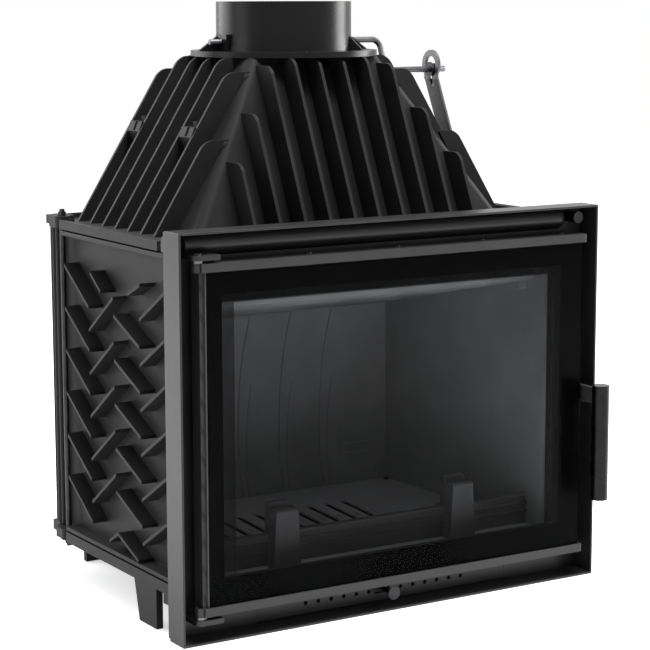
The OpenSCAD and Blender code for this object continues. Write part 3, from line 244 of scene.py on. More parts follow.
@dataclass(frozen=True)
class SteelFinish:
    """Turned or drawn steel: fine lines along the work and a tight highlight.

    Attributes:
        name: The material's name.
        dark: sRGB hex where it is worn least.
        light: sRGB hex where it is worn most.
        roughness: Mean roughness, near enough.
        stretch: How the tool marks are stretched on each axis.
        line_mm: Distance between tool marks.
        wear_mm: Width of the worn patches.
    """

    name: str
    dark: str
    light: str
    roughness: float
    stretch: tuple[float, float, float] = (1.0, 1.0, 0.08)
    line_mm: float = 0.6
    wear_mm: float = 14

    def build(self) -> bpy.types.Material:
        """Makes the material.

        Returns:
            The material.
        """
        material, tree = new_material(self.name)
        place = add_node(tree, "ShaderNodeTexCoord")
        turned = add_node(tree, "ShaderNodeMapping", Vector=place.outputs["Object"], Scale=self.stretch)
        # Tool marks are about 0.1 mm apart and are drawn at 0.6 mm so that they show.
        lines = add_node(tree, "ShaderNodeTexNoise", Vector=turned.outputs["Vector"],
                         Scale=1 / (2 * self.line_mm * MM), Detail=2.0, Roughness=0.5)
        worn = grain(tree, self.wear_mm, 3.0)
        bump = add_node(tree, "ShaderNodeBump", Strength=0.12, Distance=0.3 * MM,
                        Height=lines.outputs["Fac"])
        shader = add_node(tree, "ShaderNodeBsdfPrincipled",
                          Base_Color=ramp(tree, worn, self.dark, self.light),
                          Roughness=between(tree, worn, self.roughness - 0.05, self.roughness + 0.07),
                          Metallic=1.0, Normal=bump.outputs["Normal"])
        add_node(tree, "ShaderNodeOutputMaterial", Surface=shader.outputs["BSDF"])
        return material


@dataclass(frozen=True)
class GlassFibreRope:
    """Braided glass-fibre rope: crossing strands, matt and a little fuzzy, with painted shade between the
    strands.

    Attributes:
        name: The material's name.
        dark: sRGB hex of the painted shade between the strands.
        light: sRGB hex on the strands, out of the painted shade.
        pitch_mm: Distance between two strands as drawn.
        lay: Turn of the strands to each side, in radians.
    """

    name: str
    dark: str
    light: str
    pitch_mm: float
    lay: float = 0.785

    def build(self) -> bpy.types.Material:
        """Makes the material.

        Returns:
            The material.
        """
        material, tree = new_material(self.name)
        place = add_node(tree, "ShaderNodeTexCoord")
        waves = []
        for turn in (self.lay, -self.lay):
            tilted = add_node(tree, "ShaderNodeMapping", Vector=place.outputs["Object"],
                              Rotation=(turn, 0.0, turn))
            # Strands are about 3 mm apart in reality and are drawn coarser so that they show. The
            # wave node turns its phase by 20 radians per unit of scaled length.
            wave = add_node(tree, "ShaderNodeTexWave", {"bands_direction": "X"},
                            Vector=tilted.outputs["Vector"],
                            Scale=2 * math.pi / (20 * self.pitch_mm * MM), Distortion=0.6, Detail=2.0)
            waves.append(wave.outputs["Fac"])
        braid = add_node(tree, "ShaderNodeMath", {"operation": "MAXIMUM"}, i0=waves[0], i1=waves[1])
        bump = add_node(tree, "ShaderNodeBump", Strength=0.8, Distance=1.2 * MM, Height=braid.outputs[0])
        # The braid's height also sets the colour: painted shade between the strands, lighter on them.
        shader = add_node(tree, "ShaderNodeBsdfPrincipled",
                          Base_Color=ramp(tree, braid.outputs[0], self.dark, self.light),
                          Roughness=0.92, Normal=bump.outputs["Normal"])
        shader.inputs["Sheen Weight"].default_value = 0.25
        shader.inputs["Sheen Roughness"].default_value = 0.5
        add_node(tree, "ShaderNodeOutputMaterial", Surface=shader.outputs["BSDF"])
        return material


@dataclass(frozen=True)
class CeramicGlass:
    """Ceramic hearth glass, 4 mm: almost clear, faintly smoky, with a coated face that mirrors little.

    Attributes:
        name: The material's name.
        smoky: sRGB hex of the darkest tint.
        clear: sRGB hex of the lightest tint.
        ior: Index of refraction that gives the coated face's faint mirror.
        smoke_mm: Width of the tint's clouds.
    """

    name: str
    smoky: str
    clear: str
    ior: float
    smoke_mm: float = 120

    def build(self) -> bpy.types.Material:
        """Makes the material.

        Returns:
            The material.
        """
        material, tree = new_material(self.name)
        smoke = grain(tree, self.smoke_mm, 2.0)
        clear = add_node(tree, "ShaderNodeBsdfTransparent",
                         Color=ramp(tree, smoke, self.smoky, self.clear, 0.2, 0.8))
        polish = add_node(tree, "ShaderNodeBsdfGlossy", Color=linear("#ffffff"),
                          Roughness=between(tree, smoke, 0.02, 0.05))
        share = add_node(tree, "ShaderNodeFresnel", IOR=self.ior)
        mixed = add_node(tree, "ShaderNodeMixShader", Fac=share.outputs["Fac"],
                         i1=clear.outputs["BSDF"], i2=polish.outputs["BSDF"])
        add_node(tree, "ShaderNodeOutputMaterial", Surface=mixed.outputs["Shader"])
        return material


@dataclass(frozen=True)
class FiredPrint:
    """Black enamel fired on the back of the glass: an even, deep black that mirrors almost nothing.

    Attributes:
        name: The material's name.
        dark: sRGB hex of the darker specks.
        light: sRGB hex of the lighter specks.
        roughness: Least roughness.
        speck_mm: Width of a speck.
    """

    name: str
    dark: str
    light: str
    roughness: float
    speck_mm: float = 3

    def build(self) -> bpy.types.Material:
        """Makes the material.

        Returns:
            The material.
        """
        material, tree = new_material(self.name)
        specks = grain(tree, self.speck_mm, 2.0)
        shader = add_node(tree, "ShaderNodeBsdfPrincipled",
                          Base_Color=ramp(tree, specks, self.dark, self.light),
                          Roughness=between(tree, specks, self.roughness, self.roughness + 0.05))
        shader.inputs["Specular IOR Level"].default_value = 0.01
        add_node(tree, "ShaderNodeOutputMaterial", Surface=shader.outputs["BSDF"])
        return material


@dataclass(frozen=True)
class DottedPrint:
    """The border's half-tone band: black enamel dots on clear glass.

    Attributes:
        name: The material's name.
        colour: sRGB hex of the dots.
        pitch_mm: Distance between two dots.
        threshold: Sum of the two cosines above which there is ink, so a lower one gives larger dots.
    """

    name: str
    colour: str
    pitch_mm: float
    threshold: float

    def build(self) -> bpy.types.Material:
        """Makes the material.

        Returns:
            The material.
        """
        material, tree = new_material(self.name)
        place = add_node(tree, "ShaderNodeTexCoord")
        split = add_node(tree, "ShaderNodeSeparateXYZ", Vector=place.outputs["Object"])
        waves = []
        for axis in ("X", "Z"):
            phase = add_node(tree, "ShaderNodeMath", {"operation": "MULTIPLY"}, i0=split.outputs[axis],
                             i1=2 * math.pi / (self.pitch_mm * MM))
            wave = add_node(tree, "ShaderNodeMath", {"operation": "COSINE"}, i0=phase.outputs[0])
            waves.append(wave.outputs[0])
        total = add_node(tree, "ShaderNodeMath", {"operation": "ADD"}, i0=waves[0], i1=waves[1])
        dots = add_node(tree, "ShaderNodeMath", {"operation": "GREATER_THAN"}, i0=total.outputs[0],
                        i1=self.threshold)
        clear = add_node(tree, "ShaderNodeBsdfTransparent", Color=linear("#ffffff"))
        ink = add_node(tree, "ShaderNodeBsdfPrincipled", Base_Color=linear(self.colour), Roughness=0.5)
        ink.inputs["Specular IOR Level"].default_value = 0.05
        mixed = add_node(tree, "ShaderNodeMixShader", Fac=dots.outputs[0], i1=clear.outputs["BSDF"],
                         i2=ink.outputs["BSDF"])
        add_node(tree, "ShaderNodeOutputMaterial", Surface=mixed.outputs["Shader"])
        return material


class Finish(Enum):
    """The finishes of the insert's pieces."""

    # Sand-cast iron under heat-resistant matt paint: nearly black, a sandy skin and a dull sheen.
    CASTING = GrainedSkin("cast_iron_matt_stove_paint", "#1e1e1f", "#252526", 0.45, 0.58, 1.1, 0.30, 0.13)
    # The same paint on the hood, which gives still less sheen.
    HOOD = GrainedSkin("cast_iron_hood_paint", "#1f1f20", "#262627", 0.40, 0.50, 1.2, 0.25, 0.04)
    # Stove paint on the collar, smoother so that its sides shine, and painted darker than the castings as
    # painted shade on its dim front.
    COLLAR = GrainedSkin("collar_paint_painted_darker", "#0b0b0c", "#0f0f10", 0.24, 0.32, 1.0, 0.10, 0.15)
    # Bare grey cast iron: matt mid grey.
    LINING = GrainedSkin("bare_grey_cast_iron", "#878788", "#979798", 0.62, 0.78, 1.4, 0.40, 0.30)
    # Bare grey cast iron of the hearth, painted lighter than the linings as painted light on the firebox
    # floor.
    HEARTH = GrainedSkin("hearth_cast_iron_painted_lighter", "#a8a8a9", "#b6b6b7", 0.60, 0.75, 1.4, 0.40, 0.30)
    # Bare cast iron of the rail and the log posts, painted darker than the hearth and the linings as
    # painted shade against the front lamp's light.
    FIRE_RAIL = GrainedSkin("rail_cast_iron_painted_darker", "#444445", "#4e4e4f", 0.60, 0.75, 1.2, 0.35, 0.30)
    # Satin stove paint on the door's castings: a soft, even sheen.
    DOOR = GrainedSkin("door_satin_stove_paint", "#262627", "#2b2b2c", 0.34, 0.44, 0.9, 0.16, 0.30)
    # Satin stove paint on smooth sheet steel: the evenest sheen of the paints.
    SHEET = GrainedSkin("sheet_steel_satin_paint", "#1c1c1d", "#212122", 0.30, 0.38, 0.8, 0.08, 0.32)
    # Drawn steel, chemically blackened: dark metal with faint lines.
    DARK_STEEL = SteelFinish("blackened_drawn_steel", "#2e2e30", "#3c3c3e", 0.42)
    # Turned steel: mid-grey metal with a tight highlight.
    BRIGHT_STEEL = SteelFinish("turned_steel", "#5c5c5f", "#717174", 0.34)
    # Zinc-plated steel gone dull: grey metal with a soft highlight.
    ZINC = SteelFinish("zinc_plated_steel", "#515153", "#5c5c5e", 0.45)
    # Black nickel on the turned sleeves: nearly black with a long, clear highlight.
    SLEEVE = SteelFinish("satin_black_nickel_sleeve", "#1e1e1f", "#232324", 0.27)
    # The ground edge of the glass: frosted, and painted lighter than what stands round it as a painted
    # highlight along the edge.
    GLASS_EDGE = GrainedSkin("ground_glass_edge_painted_highlight", "#48484a", "#525254", 0.40, 0.48, 0.8, 0.05, 0.25)
    # Black glass-fibre rope: matt, braided, with painted shade between the strands.
    ROPE = GlassFibreRope("braided_glass_fibre_rope", "#101010", "#2c2c2c", 18.85)
    # Ceramic glass: clear with a faint smoky tint.
    GLASS = CeramicGlass("ceramic_hearth_glass", "#efeff0", "#f2f3f4", 1.07)
    # Fired enamel: a deep black border.
    PRINT = FiredPrint("fired_black_print", "#050506", "#070708", 0.45)
    # Fired enamel dots: the border's edge fades towards the window.
    DOTS = DottedPrint("dotted_black_print", "#0a0a0b", 1.6, -0.35)

    def material(self) -> bpy.types.Material:
        """Returns the finish's material, made on first use."""
        found = bpy.data.materials.get(self.value.name)
        return found or self.value.build()


# Modelling helpers


def deselect_all() -> None:
    """Leaves edit mode and deselects every object."""
    if bpy.context.object and bpy.context.object.mode != "OBJECT":
        bpy.ops.object.mode_set(mode="OBJECT")
    bpy.ops.object.select_all(action="DESELECT")


def pick(piece: bpy.types.Object) -> None:
    """Selects one piece and makes it active.

    Args:
        piece: The object that is picked.
    """
    deselect_all()
    piece.select_set(True)
    bpy.context.view_layer.objects.active = piece


def settle(piece: bpy.types.Object) -> None:
    """Puts the piece's place, turn and scale into its mesh."""
    pick(piece)
    bpy.ops.object.transform_apply(location=True, rotation=True, scale=True)


def apply_modifier(piece: bpy.types.Object, kind: str, **settings: Any) -> None:
    """Adds a modifier and applies it.

    Args:
        piece: The object that is changed.
        kind: Blender's name of the modifier type.
        **settings: The modifier's properties.
    """
    pick(piece)
    modifier = piece.modifiers.new(kind.lower(), kind)
    for key, value in settings.items():
        setattr(modifier, key, value)
    bpy.ops.object.modifier_apply(modifier=modifier.name)


def edit(piece: bpy.types.Object, steps: Callable[[], Any]) -> None:
    """Runs steps in edit mode with the whole mesh selected.

    Args:
        piece: The object that is edited.
        steps: What is done in edit mode.
    """
    pick(piece)
    bpy.ops.object.mode_set(mode="EDIT")
    bpy.ops.mesh.select_all(action="SELECT")
    steps()
    bpy.ops.object.mode_set(mode="OBJECT")


def smooth(piece: bpy.types.Object, degrees: float = 40.0) -> None:
    """Shades the piece smooth, but for edges sharper than the angle."""
    pick(piece)
    bpy.ops.object.shade_smooth_by_angle(angle=math.radians(degrees))


def paint(piece: bpy.types.Object, finish: Finish) -> None:
    """Gives the whole piece one finish."""
    piece.data.materials.clear()
    piece.data.materials.append(finish.material())


def finish_piece(piece: bpy.types.Object, name: str, body: str, finish: Finish,
                 stands_for: Sequence[str] = ()) -> bpy.types.Object:
    """Names, paints and mounts a finished piece.

    Args:
        piece: The object.
        name: Its name in the table.
        body: The frame body that it rides on.
        finish: Its finish.
        stands_for: The nodes that it replaces.

    Returns:
        The same object.
    """
    settle(piece)
    piece.name = name
    piece.data.name = name
    paint(piece, finish)
    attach(piece, body)
    if stands_for:
        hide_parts(*stands_for)
    LOG.info("%s: %d faces", name, len(piece.data.polygons))
    return piece


def bent_rod(points: Sequence[Vector], radius: float, bend: float, sides: int = 28,
             bend_steps: int = 9) -> bpy.types.Object:
    """Sweeps a round rod along straight runs with a bend at each corner.

    Args:
        points: The rod's ends and corners, in order.
        radius: The rod's radius.
        bend: Radius of each bend, to the rod's middle.
        sides: Faces round the rod.
        bend_steps: Faces along each bend.

    Returns:
        The rod.
    """
    deselect_all()
    first = (points[1] - points[0]).normalized()
    bpy.ops.mesh.primitive_circle_add(vertices=sides, radius=radius, fill_type="NGON",
                                      location=points[0],
                                      rotation=first.to_track_quat("Z", "Y").to_euler())
    piece = bpy.context.object
    settle(piece)

    def sweep() -> None:
        """Extrudes each run, spins each bend, then closes the skin."""
        at = points[0]
        for number, corner in enumerate(points[1:], 1):
            along = (corner - at).normalized()
            if number == len(points) - 1:
                bpy.ops.mesh.extrude_region_move(TRANSFORM_OT_translate={"value": corner - at})
                continue
            after = (points[number + 1] - corner).normalized()
            turn = along.angle(after)
            back = bend * math.tan(turn / 2)
            start = corner - along * back
            bpy.ops.mesh.extrude_region_move(TRANSFORM_OT_translate={"value": start - at})
            axis = along.cross(after).normalized()
            # The spin tool turns the other way round its axis, so its angle is negative.
            bpy.ops.mesh.spin(steps=bend_steps, angle=-turn, center=start + axis.cross(along) * bend,
                              axis=axis)
            at = corner + after * back
        bpy.ops.mesh.select_all(action="SELECT")
        bpy.ops.mesh.remove_doubles(threshold=WELD)
        bpy.ops.mesh.normals_make_consistent(inside=False)

    edit(piece, sweep)
    return piece


@dataclass
class Frame:
    """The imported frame, and how its solids are shown.

    Attributes:
        body_by_node: The body that each node rides on.
        slot_by_node: Each node's material slot.
    """

    data: dict[str, Any]
    body_by_node: dict[str, str] = field(default_factory=dict)
    slot_by_node: dict[str, str] = field(default_factory=dict)

    def __post_init__(self) -> None:
        """Reads each node's body and slot."""
        record = self.data["record"]
        for body, nodes in record["behaviour"]["bodies"].items():
            for node in nodes:
                self.body_by_node[node] = body
        for part in record["subparts"]:
            self.slot_by_node[part["node"]] = part["material_slot"]

    def dress(self, finish: Finish, *nodes: str) -> None:
        """Gives nodes' own objects a finish.

        Args:
            finish: The finish.
            *nodes: The frame's nodes.
        """
        for node in nodes:
            piece = self.data["nodes"][node]
            if not piece.material_slots:
                piece.data.materials.append(finish.material())
            for place in piece.material_slots:
                place.material = finish.material()
            LOG.info("%s: dressed", node)

    def ease(self, finish: Finish, width_mm: float, *nodes: str, segments: int = 2, angle: float = 30.0,
             shape: Callable[[bpy.types.Object], None] | None = None) -> None:
        """Shows nodes through copies with rounded edges.

        Args:
            finish: The finish of the copies.
            width_mm: Width of the rounding.
            *nodes: The frame's nodes.
            segments: Faces across the rounding.
            angle: Least angle between faces whose edge is rounded, in degrees.
            shape: Changes a merged copy before its edges are rounded.
        """
        for node in nodes:
            source = self.data["nodes"][node]
            piece = bpy.data.objects.new(f"{node}_eased", source.data.copy())
            bpy.context.scene.collection.objects.link(piece)
            edit(piece, lambda: bpy.ops.mesh.remove_doubles(threshold=WELD))
            if shape:
                shape(piece)
            apply_modifier(piece, "BEVEL", width=width_mm * MM, segments=segments,
                           limit_method="ANGLE", angle_limit=math.radians(angle),
                           use_clamp_overlap=True)
            smooth(piece)
            # Flat faces keep their own normal, so that only the rounding carries the highlight.
            apply_modifier(piece, "WEIGHTED_NORMAL", keep_sharp=True, weight=100)
            finish_piece(piece, f"{node}_eased", self.body_by_node[node], finish,
                         (node,))


# Sub-assemblies


@dataclass
class Shell:
    """The insert's outer castings, the sheet surround and what holds and seals them.

    Attributes:
        frame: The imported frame.
        sheet_ease_mm: Rounding of the folded sheet's edges.
        plate_ease_mm: Rounding of the front plate's edges.
        cast_ease_mm: Rounding of the castings' edges.
    """

    frame: Frame
    sheet_ease_mm: float = 0.5
    plate_ease_mm: float = 1.0
    cast_ease_mm: float = 1.4

    def build(self) -> None:
        """Dresses the shell's nodes."""
        self.frame.ease(Finish.SHEET, self.sheet_ease_mm, "surround")
        self.frame.ease(Finish.SHEET, self.plate_ease_mm, "front_plate")
        self.frame.ease(Finish.CASTING, self.cast_ease_mm, "base_plate", "top_plate",
                        "left_side_panel", "right_side_panel", "back_panel")
        self.frame.dress(Finish.ROPE, "lower_rope", "upper_rope")
        self.frame.dress(Finish.DARK_STEEL, "tie_rods", "tie_nuts", "ash_trough")


@dataclass
class Hood:
    """The finned smoke hood with the flue collar on it.

    Attributes:
        frame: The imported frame.
        foot: The front right corner line's lower end.
        head: Its upper end.
        corner_round: Radius of the cast corner.
        core_sides: Faces round the cylinder that leaves that radius.
        wedge_share: Length of the wedge that is cut off, as a share of the corner line's.
        core_share: Length of the cylinder, as a share of the wedge's.
        wedge_proud: How far the wedge stands out of the hood's faces.
        ridge_proud: How far it stands out past the corner line.
        hood_ease_mm: Rounding of the hood's edges.
        collar_ease_mm: Rounding of the collar's edges.
    """

    frame: Frame
    foot: tuple[float, float, float] = (0.2595, 0.1165, 0.5295)
    head: tuple[float, float, float] = (0.109, 0.223, 0.7685)
    corner_round: float = 0.016
    core_sides: int = 72
    wedge_share: float = 1.1
    core_share: float = 1.2
    wedge_proud: float = 0.0005
    ridge_proud: float = 0.002
    hood_ease_mm: float = 0.8
    collar_ease_mm: float = 1.2

    def corner_cutter(self, side: int) -> bpy.types.Object:
        """Makes what a sharp corner has over a round one: a wedge less a cylinder.

        Args:
            side: -1 for the left corner and 1 for the right one.

        Returns:
            The cutter.
        """
        low = Vector((side * self.foot[0], self.foot[1], self.foot[2]))
        high = Vector((side * self.head[0], self.head[1], self.head[2]))
        along = (high - low).normalized()
        front = along.cross(Vector((side, 0, 0))).normalized()
        front = front if front.y < 0 else -front
        beside = along.cross(Vector((0, 1, 0))).normalized()
        beside = beside if beside.x * side > 0 else -beside
        out = front + beside
        inset = -out * self.corner_round / (1 + front.dot(beside))
        middle = (low + high) / 2 + inset
        length = (high - low).length * self.wedge_share

        deselect_all()
        bpy.ops.mesh.primitive_cylinder_add(vertices=self.core_sides, radius=self.corner_round,
                                            depth=length * self.core_share, location=middle,
                                            rotation=along.to_track_quat("Z", "Y").to_euler())
        core = bpy.context.object
        settle(core)
        deselect_all()
        bpy.ops.mesh.primitive_cylinder_add(vertices=3, radius=self.corner_round, depth=length,
                                            location=(0, 0, 0))
        wedge = bpy.context.object
        reach = self.corner_round + self.wedge_proud
        places = [out.normalized() * self.ridge_proud - inset, front * reach, beside * reach]
        # The prism's corners stand at 0, 120 and 240 degrees from Y, and each is moved to its place.
        for vertex in wedge.data.vertices:
            third = round(math.atan2(vertex.co.x, vertex.co.y) / (2 * math.pi / 3)) % 3
            vertex.co = middle + places[third] + along * vertex.co.z
        edit(wedge, lambda: bpy.ops.mesh.normals_make_consistent(inside=False))
        apply_modifier(wedge, "BOOLEAN", operation="DIFFERENCE", solver="EXACT", object=core)
        bpy.data.objects.remove(core)
        return wedge

    def round_corners(self, hood: bpy.types.Object) -> None:
        """Rounds the hood's two front corners as cast.

        Args:
            hood: The merged copy of the hood.
        """
        for side in (-1, 1):
            cutter = self.corner_cutter(side)
            apply_modifier(hood, "BOOLEAN", operation="DIFFERENCE", solver="EXACT", object=cutter)
            bpy.data.objects.remove(cutter)

    def build(self) -> None:
        """Dresses the hood, the collar and their bolts."""
        self.frame.ease(Finish.HOOD, self.hood_ease_mm, "hood", shape=self.round_corners)
        self.frame.ease(Finish.COLLAR, self.collar_ease_mm, "flue_collar")
        self.frame.dress(Finish.DARK_STEEL, "hood_bolts", "flange_bolts")


@dataclass
class Damper:
    """The flue damper with its crank, arm, rod and knob.

    Attributes:
        frame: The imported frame.
        axle: The bent axle's ends and corners.
        axle_radius: Its radius.
        axle_bend: Radius of its bends.
        end_ease_mm: Rounding of the axle's ends.
        end_angle: Least angle of an edge at the axle's ends, in degrees.
        arm_ease_mm: Rounding of the arm's edges.
        knob_ease_mm: Rounding of the knob's edges.
    """

    frame: Frame
    axle: tuple[tuple[float, float, float], ...] = ((-0.125, 0.316, 0.7895), (0.168, 0.316, 0.7895),
                                                    (0.168, 0.299, 0.7435), (0.277, 0.299, 0.7435))
    axle_radius: float = 0.0045
    axle_bend: float = 0.013
    end_ease_mm: float = 0.6
    end_angle: float = 60.0
    arm_ease_mm: float = 0.6
    knob_ease_mm: float = 1.2

    def build(self) -> None:
        """Dresses the damper's nodes and bends the axle's crank."""
        self.frame.dress(Finish.DARK_STEEL, "damper_blade", "blade_screws", "damper_rod")
        rod = bent_rod([Vector(point) for point in self.axle], self.axle_radius, self.axle_bend)
        apply_modifier(rod, "BEVEL", width=self.end_ease_mm * MM, segments=2, limit_method="ANGLE",
                       angle_limit=math.radians(self.end_angle))
        smooth(rod, 50.0)
        finish_piece(rod, "damper_axle_bent", "damper", Finish.ZINC, ("damper_axle",))
        self.frame.ease(Finish.ZINC, self.arm_ease_mm, "damper_arm")
        self.frame.dress(Finish.DARK_STEEL, "crank_washer", "crank_clip")
        self.frame.ease(Finish.DARK_STEEL, self.knob_ease_mm, "damper_knob")


@dataclass
class AirControl:
    """The air plate with its holes, the slide behind it and the knob.

    Attributes:
        frame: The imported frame.
        knob_ease_mm: Rounding of the knob's edges.
    """

    frame: Frame
    knob_ease_mm: float = 0.6

    def build(self) -> None:
        """Dresses the air control's nodes."""
        self.frame.dress(Finish.SHEET, "air_plate")
        self.frame.dress(Finish.DARK_STEEL, "air_slide", "air_slide_rails", "air_duct")
        self.frame.ease(Finish.DARK_STEEL, self.knob_ease_mm, "air_knob")


@dataclass
class Firebox:
    """The linings, the hearth and what stands on it.

    Attributes:
        frame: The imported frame.
        lining_ease_mm: Rounding of the linings' edges.
        hearth_ease_mm: Rounding of the hearth's and the grate's edges.
        rail_ease_mm: Rounding of the rail's and the posts' edges.
    """

    frame: Frame
    lining_ease_mm: float = 0.9
    hearth_ease_mm: float = 0.6
    rail_ease_mm: float = 0.9

    def build(self) -> None:
        """Dresses the firebox's nodes."""
        self.frame.ease(Finish.LINING, self.lining_ease_mm, "left_lining", "right_lining",
                        "back_lining", "baffle")
        self.frame.ease(Finish.HEARTH, self.hearth_ease_mm, "hearth_plate", "fire_grate")
        self.frame.ease(Finish.FIRE_RAIL, self.rail_ease_mm, "front_rail", "left_log_post",
                        "right_log_post")
        self.frame.dress(Finish.ZINC, "hearth_bolts")


@dataclass
class Door:
    """The glass door with its frame, bars, print and seals.

    Attributes:
        frame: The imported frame.
        window: The clear window's left, right, low and high edges.
        dotted: The dotted band's outer left, right, low and high edges.
        print_y: Depth of the print, just inside the back face of the glass.
        print_t: Its thickness.
        hole_start: Width of the band that the inset makes before its hole is moved to its place.
        edge_w: Width of the ground edge seen from the front.
        edge_proud: How far the ground edge stands out of the side of the glass, and twice as far as
            it stands out of the front.
        edge_ease_mm: Rounding of the ground edge.
        cast_ease_mm: Rounding of the castings' edges.
    """

    frame: Frame
    window: tuple[float, float, float, float] = (-0.262, 0.270, 0.0895, 0.458)
    dotted: tuple[float, float, float, float] = (-0.280, 0.280, 0.0868, 0.4696)
    print_y: float = 0.0038
    print_t: float = 0.0001
    hole_start: float = 0.01
    edge_w: float = 0.0016
    edge_proud: float = 0.0002
    edge_ease_mm: float = 0.6
    cast_ease_mm: float = 1.0

    def band(self, name: str, inner: Sequence[float], outer: Sequence[float], finish: Finish) -> None:
        """Makes one band of the print on the back of the glass.

        Args:
            name: The piece's name.
            inner: Left, right, low and high edges of the hole.
            outer: Left, right, low and high edges of the band.
            finish: The band's finish.
        """
        deselect_all()
        left, right, low, high = outer
        middle = Vector(((left + right) / 2, self.print_y, (low + high) / 2))
        bpy.ops.mesh.primitive_plane_add(size=1, location=middle, rotation=(math.pi / 2, 0, 0))
        piece = bpy.context.object
        piece.scale = (right - left, high - low, 1)
        settle(piece)

        def cut_hole() -> None:
            """Insets the face, brings the inner one to the hole's size and place, and deletes it."""
            bpy.ops.mesh.inset(thickness=self.hole_start)
            wide = (inner[1] - inner[0]) / (right - left - 2 * self.hole_start)
            tall = (inner[3] - inner[2]) / (high - low - 2 * self.hole_start)
            bpy.ops.transform.resize(value=(wide, 1, tall), center_override=middle)
            hole = Vector(((inner[0] + inner[1]) / 2, self.print_y, (inner[2] + inner[3]) / 2))
            bpy.ops.transform.translate(value=hole - middle)
            bpy.ops.mesh.delete(type="FACE")

        edit(piece, cut_hole)
        apply_modifier(piece, "SOLIDIFY", thickness=self.print_t, offset=-1.0)
        finish_piece(piece, name, "door", finish)

    def ground_edge(self, low: Vector, high: Vector) -> None:
        """Makes the ground edge on the hinge side of the glass, between the clamp bars, as a lighter
        strip that is partly a painted highlight.

        Args:
            low: The glass's lower left front corner.
            high: Its upper right back corner.
        """
        bar_low, bar_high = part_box("door_bottom_bar")[1].z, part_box("door_top_bar")[0].z
        deselect_all()
        size = Vector((self.edge_w, high.y - low.y, bar_high - bar_low))
        middle = Vector((low.x - self.edge_proud + size.x / 2,
                         (low.y + high.y - self.edge_proud) / 2, (bar_low + bar_high) / 2))
        bpy.ops.mesh.primitive_cube_add(size=1, location=middle)
        piece = bpy.context.object
        piece.scale = size
        settle(piece)
        apply_modifier(piece, "BEVEL", width=self.edge_ease_mm * MM, segments=3, limit_method="ANGLE")
        smooth(piece)
        finish_piece(piece, "glass_edge_painted_highlight", "door", Finish.GLASS_EDGE)

    def build(self) -> None:
        """Dresses the door and makes the print and the ground edge with its painted highlight."""
        self.frame.ease(Finish.DOOR, self.cast_ease_mm, "door_frame", "door_top_bar",
                        "door_bottom_bar")
        self.frame.dress(Finish.GLASS, "door_glass")
        self.frame.dress(Finish.ROPE, "glass_seal", "door_rope")
        self.frame.dress(Finish.DARK_STEEL, "bar_screws", "hinge_pins")
        self.frame.dress(Finish.BRIGHT_STEEL, "hinge_washers")
        low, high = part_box("door_glass")
        self.band("print_border", self.dotted, (low.x, high.x, low.z, high.z), Finish.PRINT)
        self.band("print_dots", self.window, self.dotted, Finish.DOTS)
        self.ground_edge(low, high)


@dataclass
class Latch:
    """The handle with its grip, shaft, hook and keeper.

    Attributes:
        frame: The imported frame.
        arm_ease_mm: Rounding of the handle arm's edges.
        grip_ease_mm: Rounding of the grips' ends, wide enough to show the seam between them.
    """

    frame: Frame
    arm_ease_mm: float = 0.8
    grip_ease_mm: float = 2.0

    def build(self) -> None:
        """Dresses the latch's nodes."""
        self.frame.dress(Finish.BRIGHT_STEEL, "latch_shaft")
        self.frame.dress(Finish.DARK_STEEL, "latch_hook", "latch_keeper")
        self.frame.ease(Finish.DOOR, self.arm_ease_mm, "handle_arm")
        self.frame.dress(Finish.BRIGHT_STEEL, "latch_bearing")
        self.frame.ease(Finish.SLEEVE, self.grip_ease_mm, "grip_upper", "grip_lower", segments=3)


@dataclass(frozen=True)
class Softbox:
    """One rectangular lamp.

    Attributes:
        name: The lamp's name.
        place: Its centre.
        aim: The point that it faces.
        size: Its width and height.
        watts: Its power.
    """

    name: str
    place: tuple[float, float, float]
    aim: tuple[float, float, float]
    size: tuple[float, float]
    watts: float

    def build(self) -> None:
        """Hangs the lamp."""
        data = bpy.data.lights.new(self.name, "AREA")
        data.shape = "RECTANGLE"
        data.size, data.size_y = self.size
        data.energy = self.watts
        lamp = bpy.data.objects.new(self.name, data)
        bpy.context.scene.collection.objects.link(lamp)
        turn = (Vector(self.aim) - Vector(self.place)).to_track_quat("-Z", "Y")
        lamp.matrix_world = Matrix.Translation(self.place) @ turn.to_matrix().to_4x4()


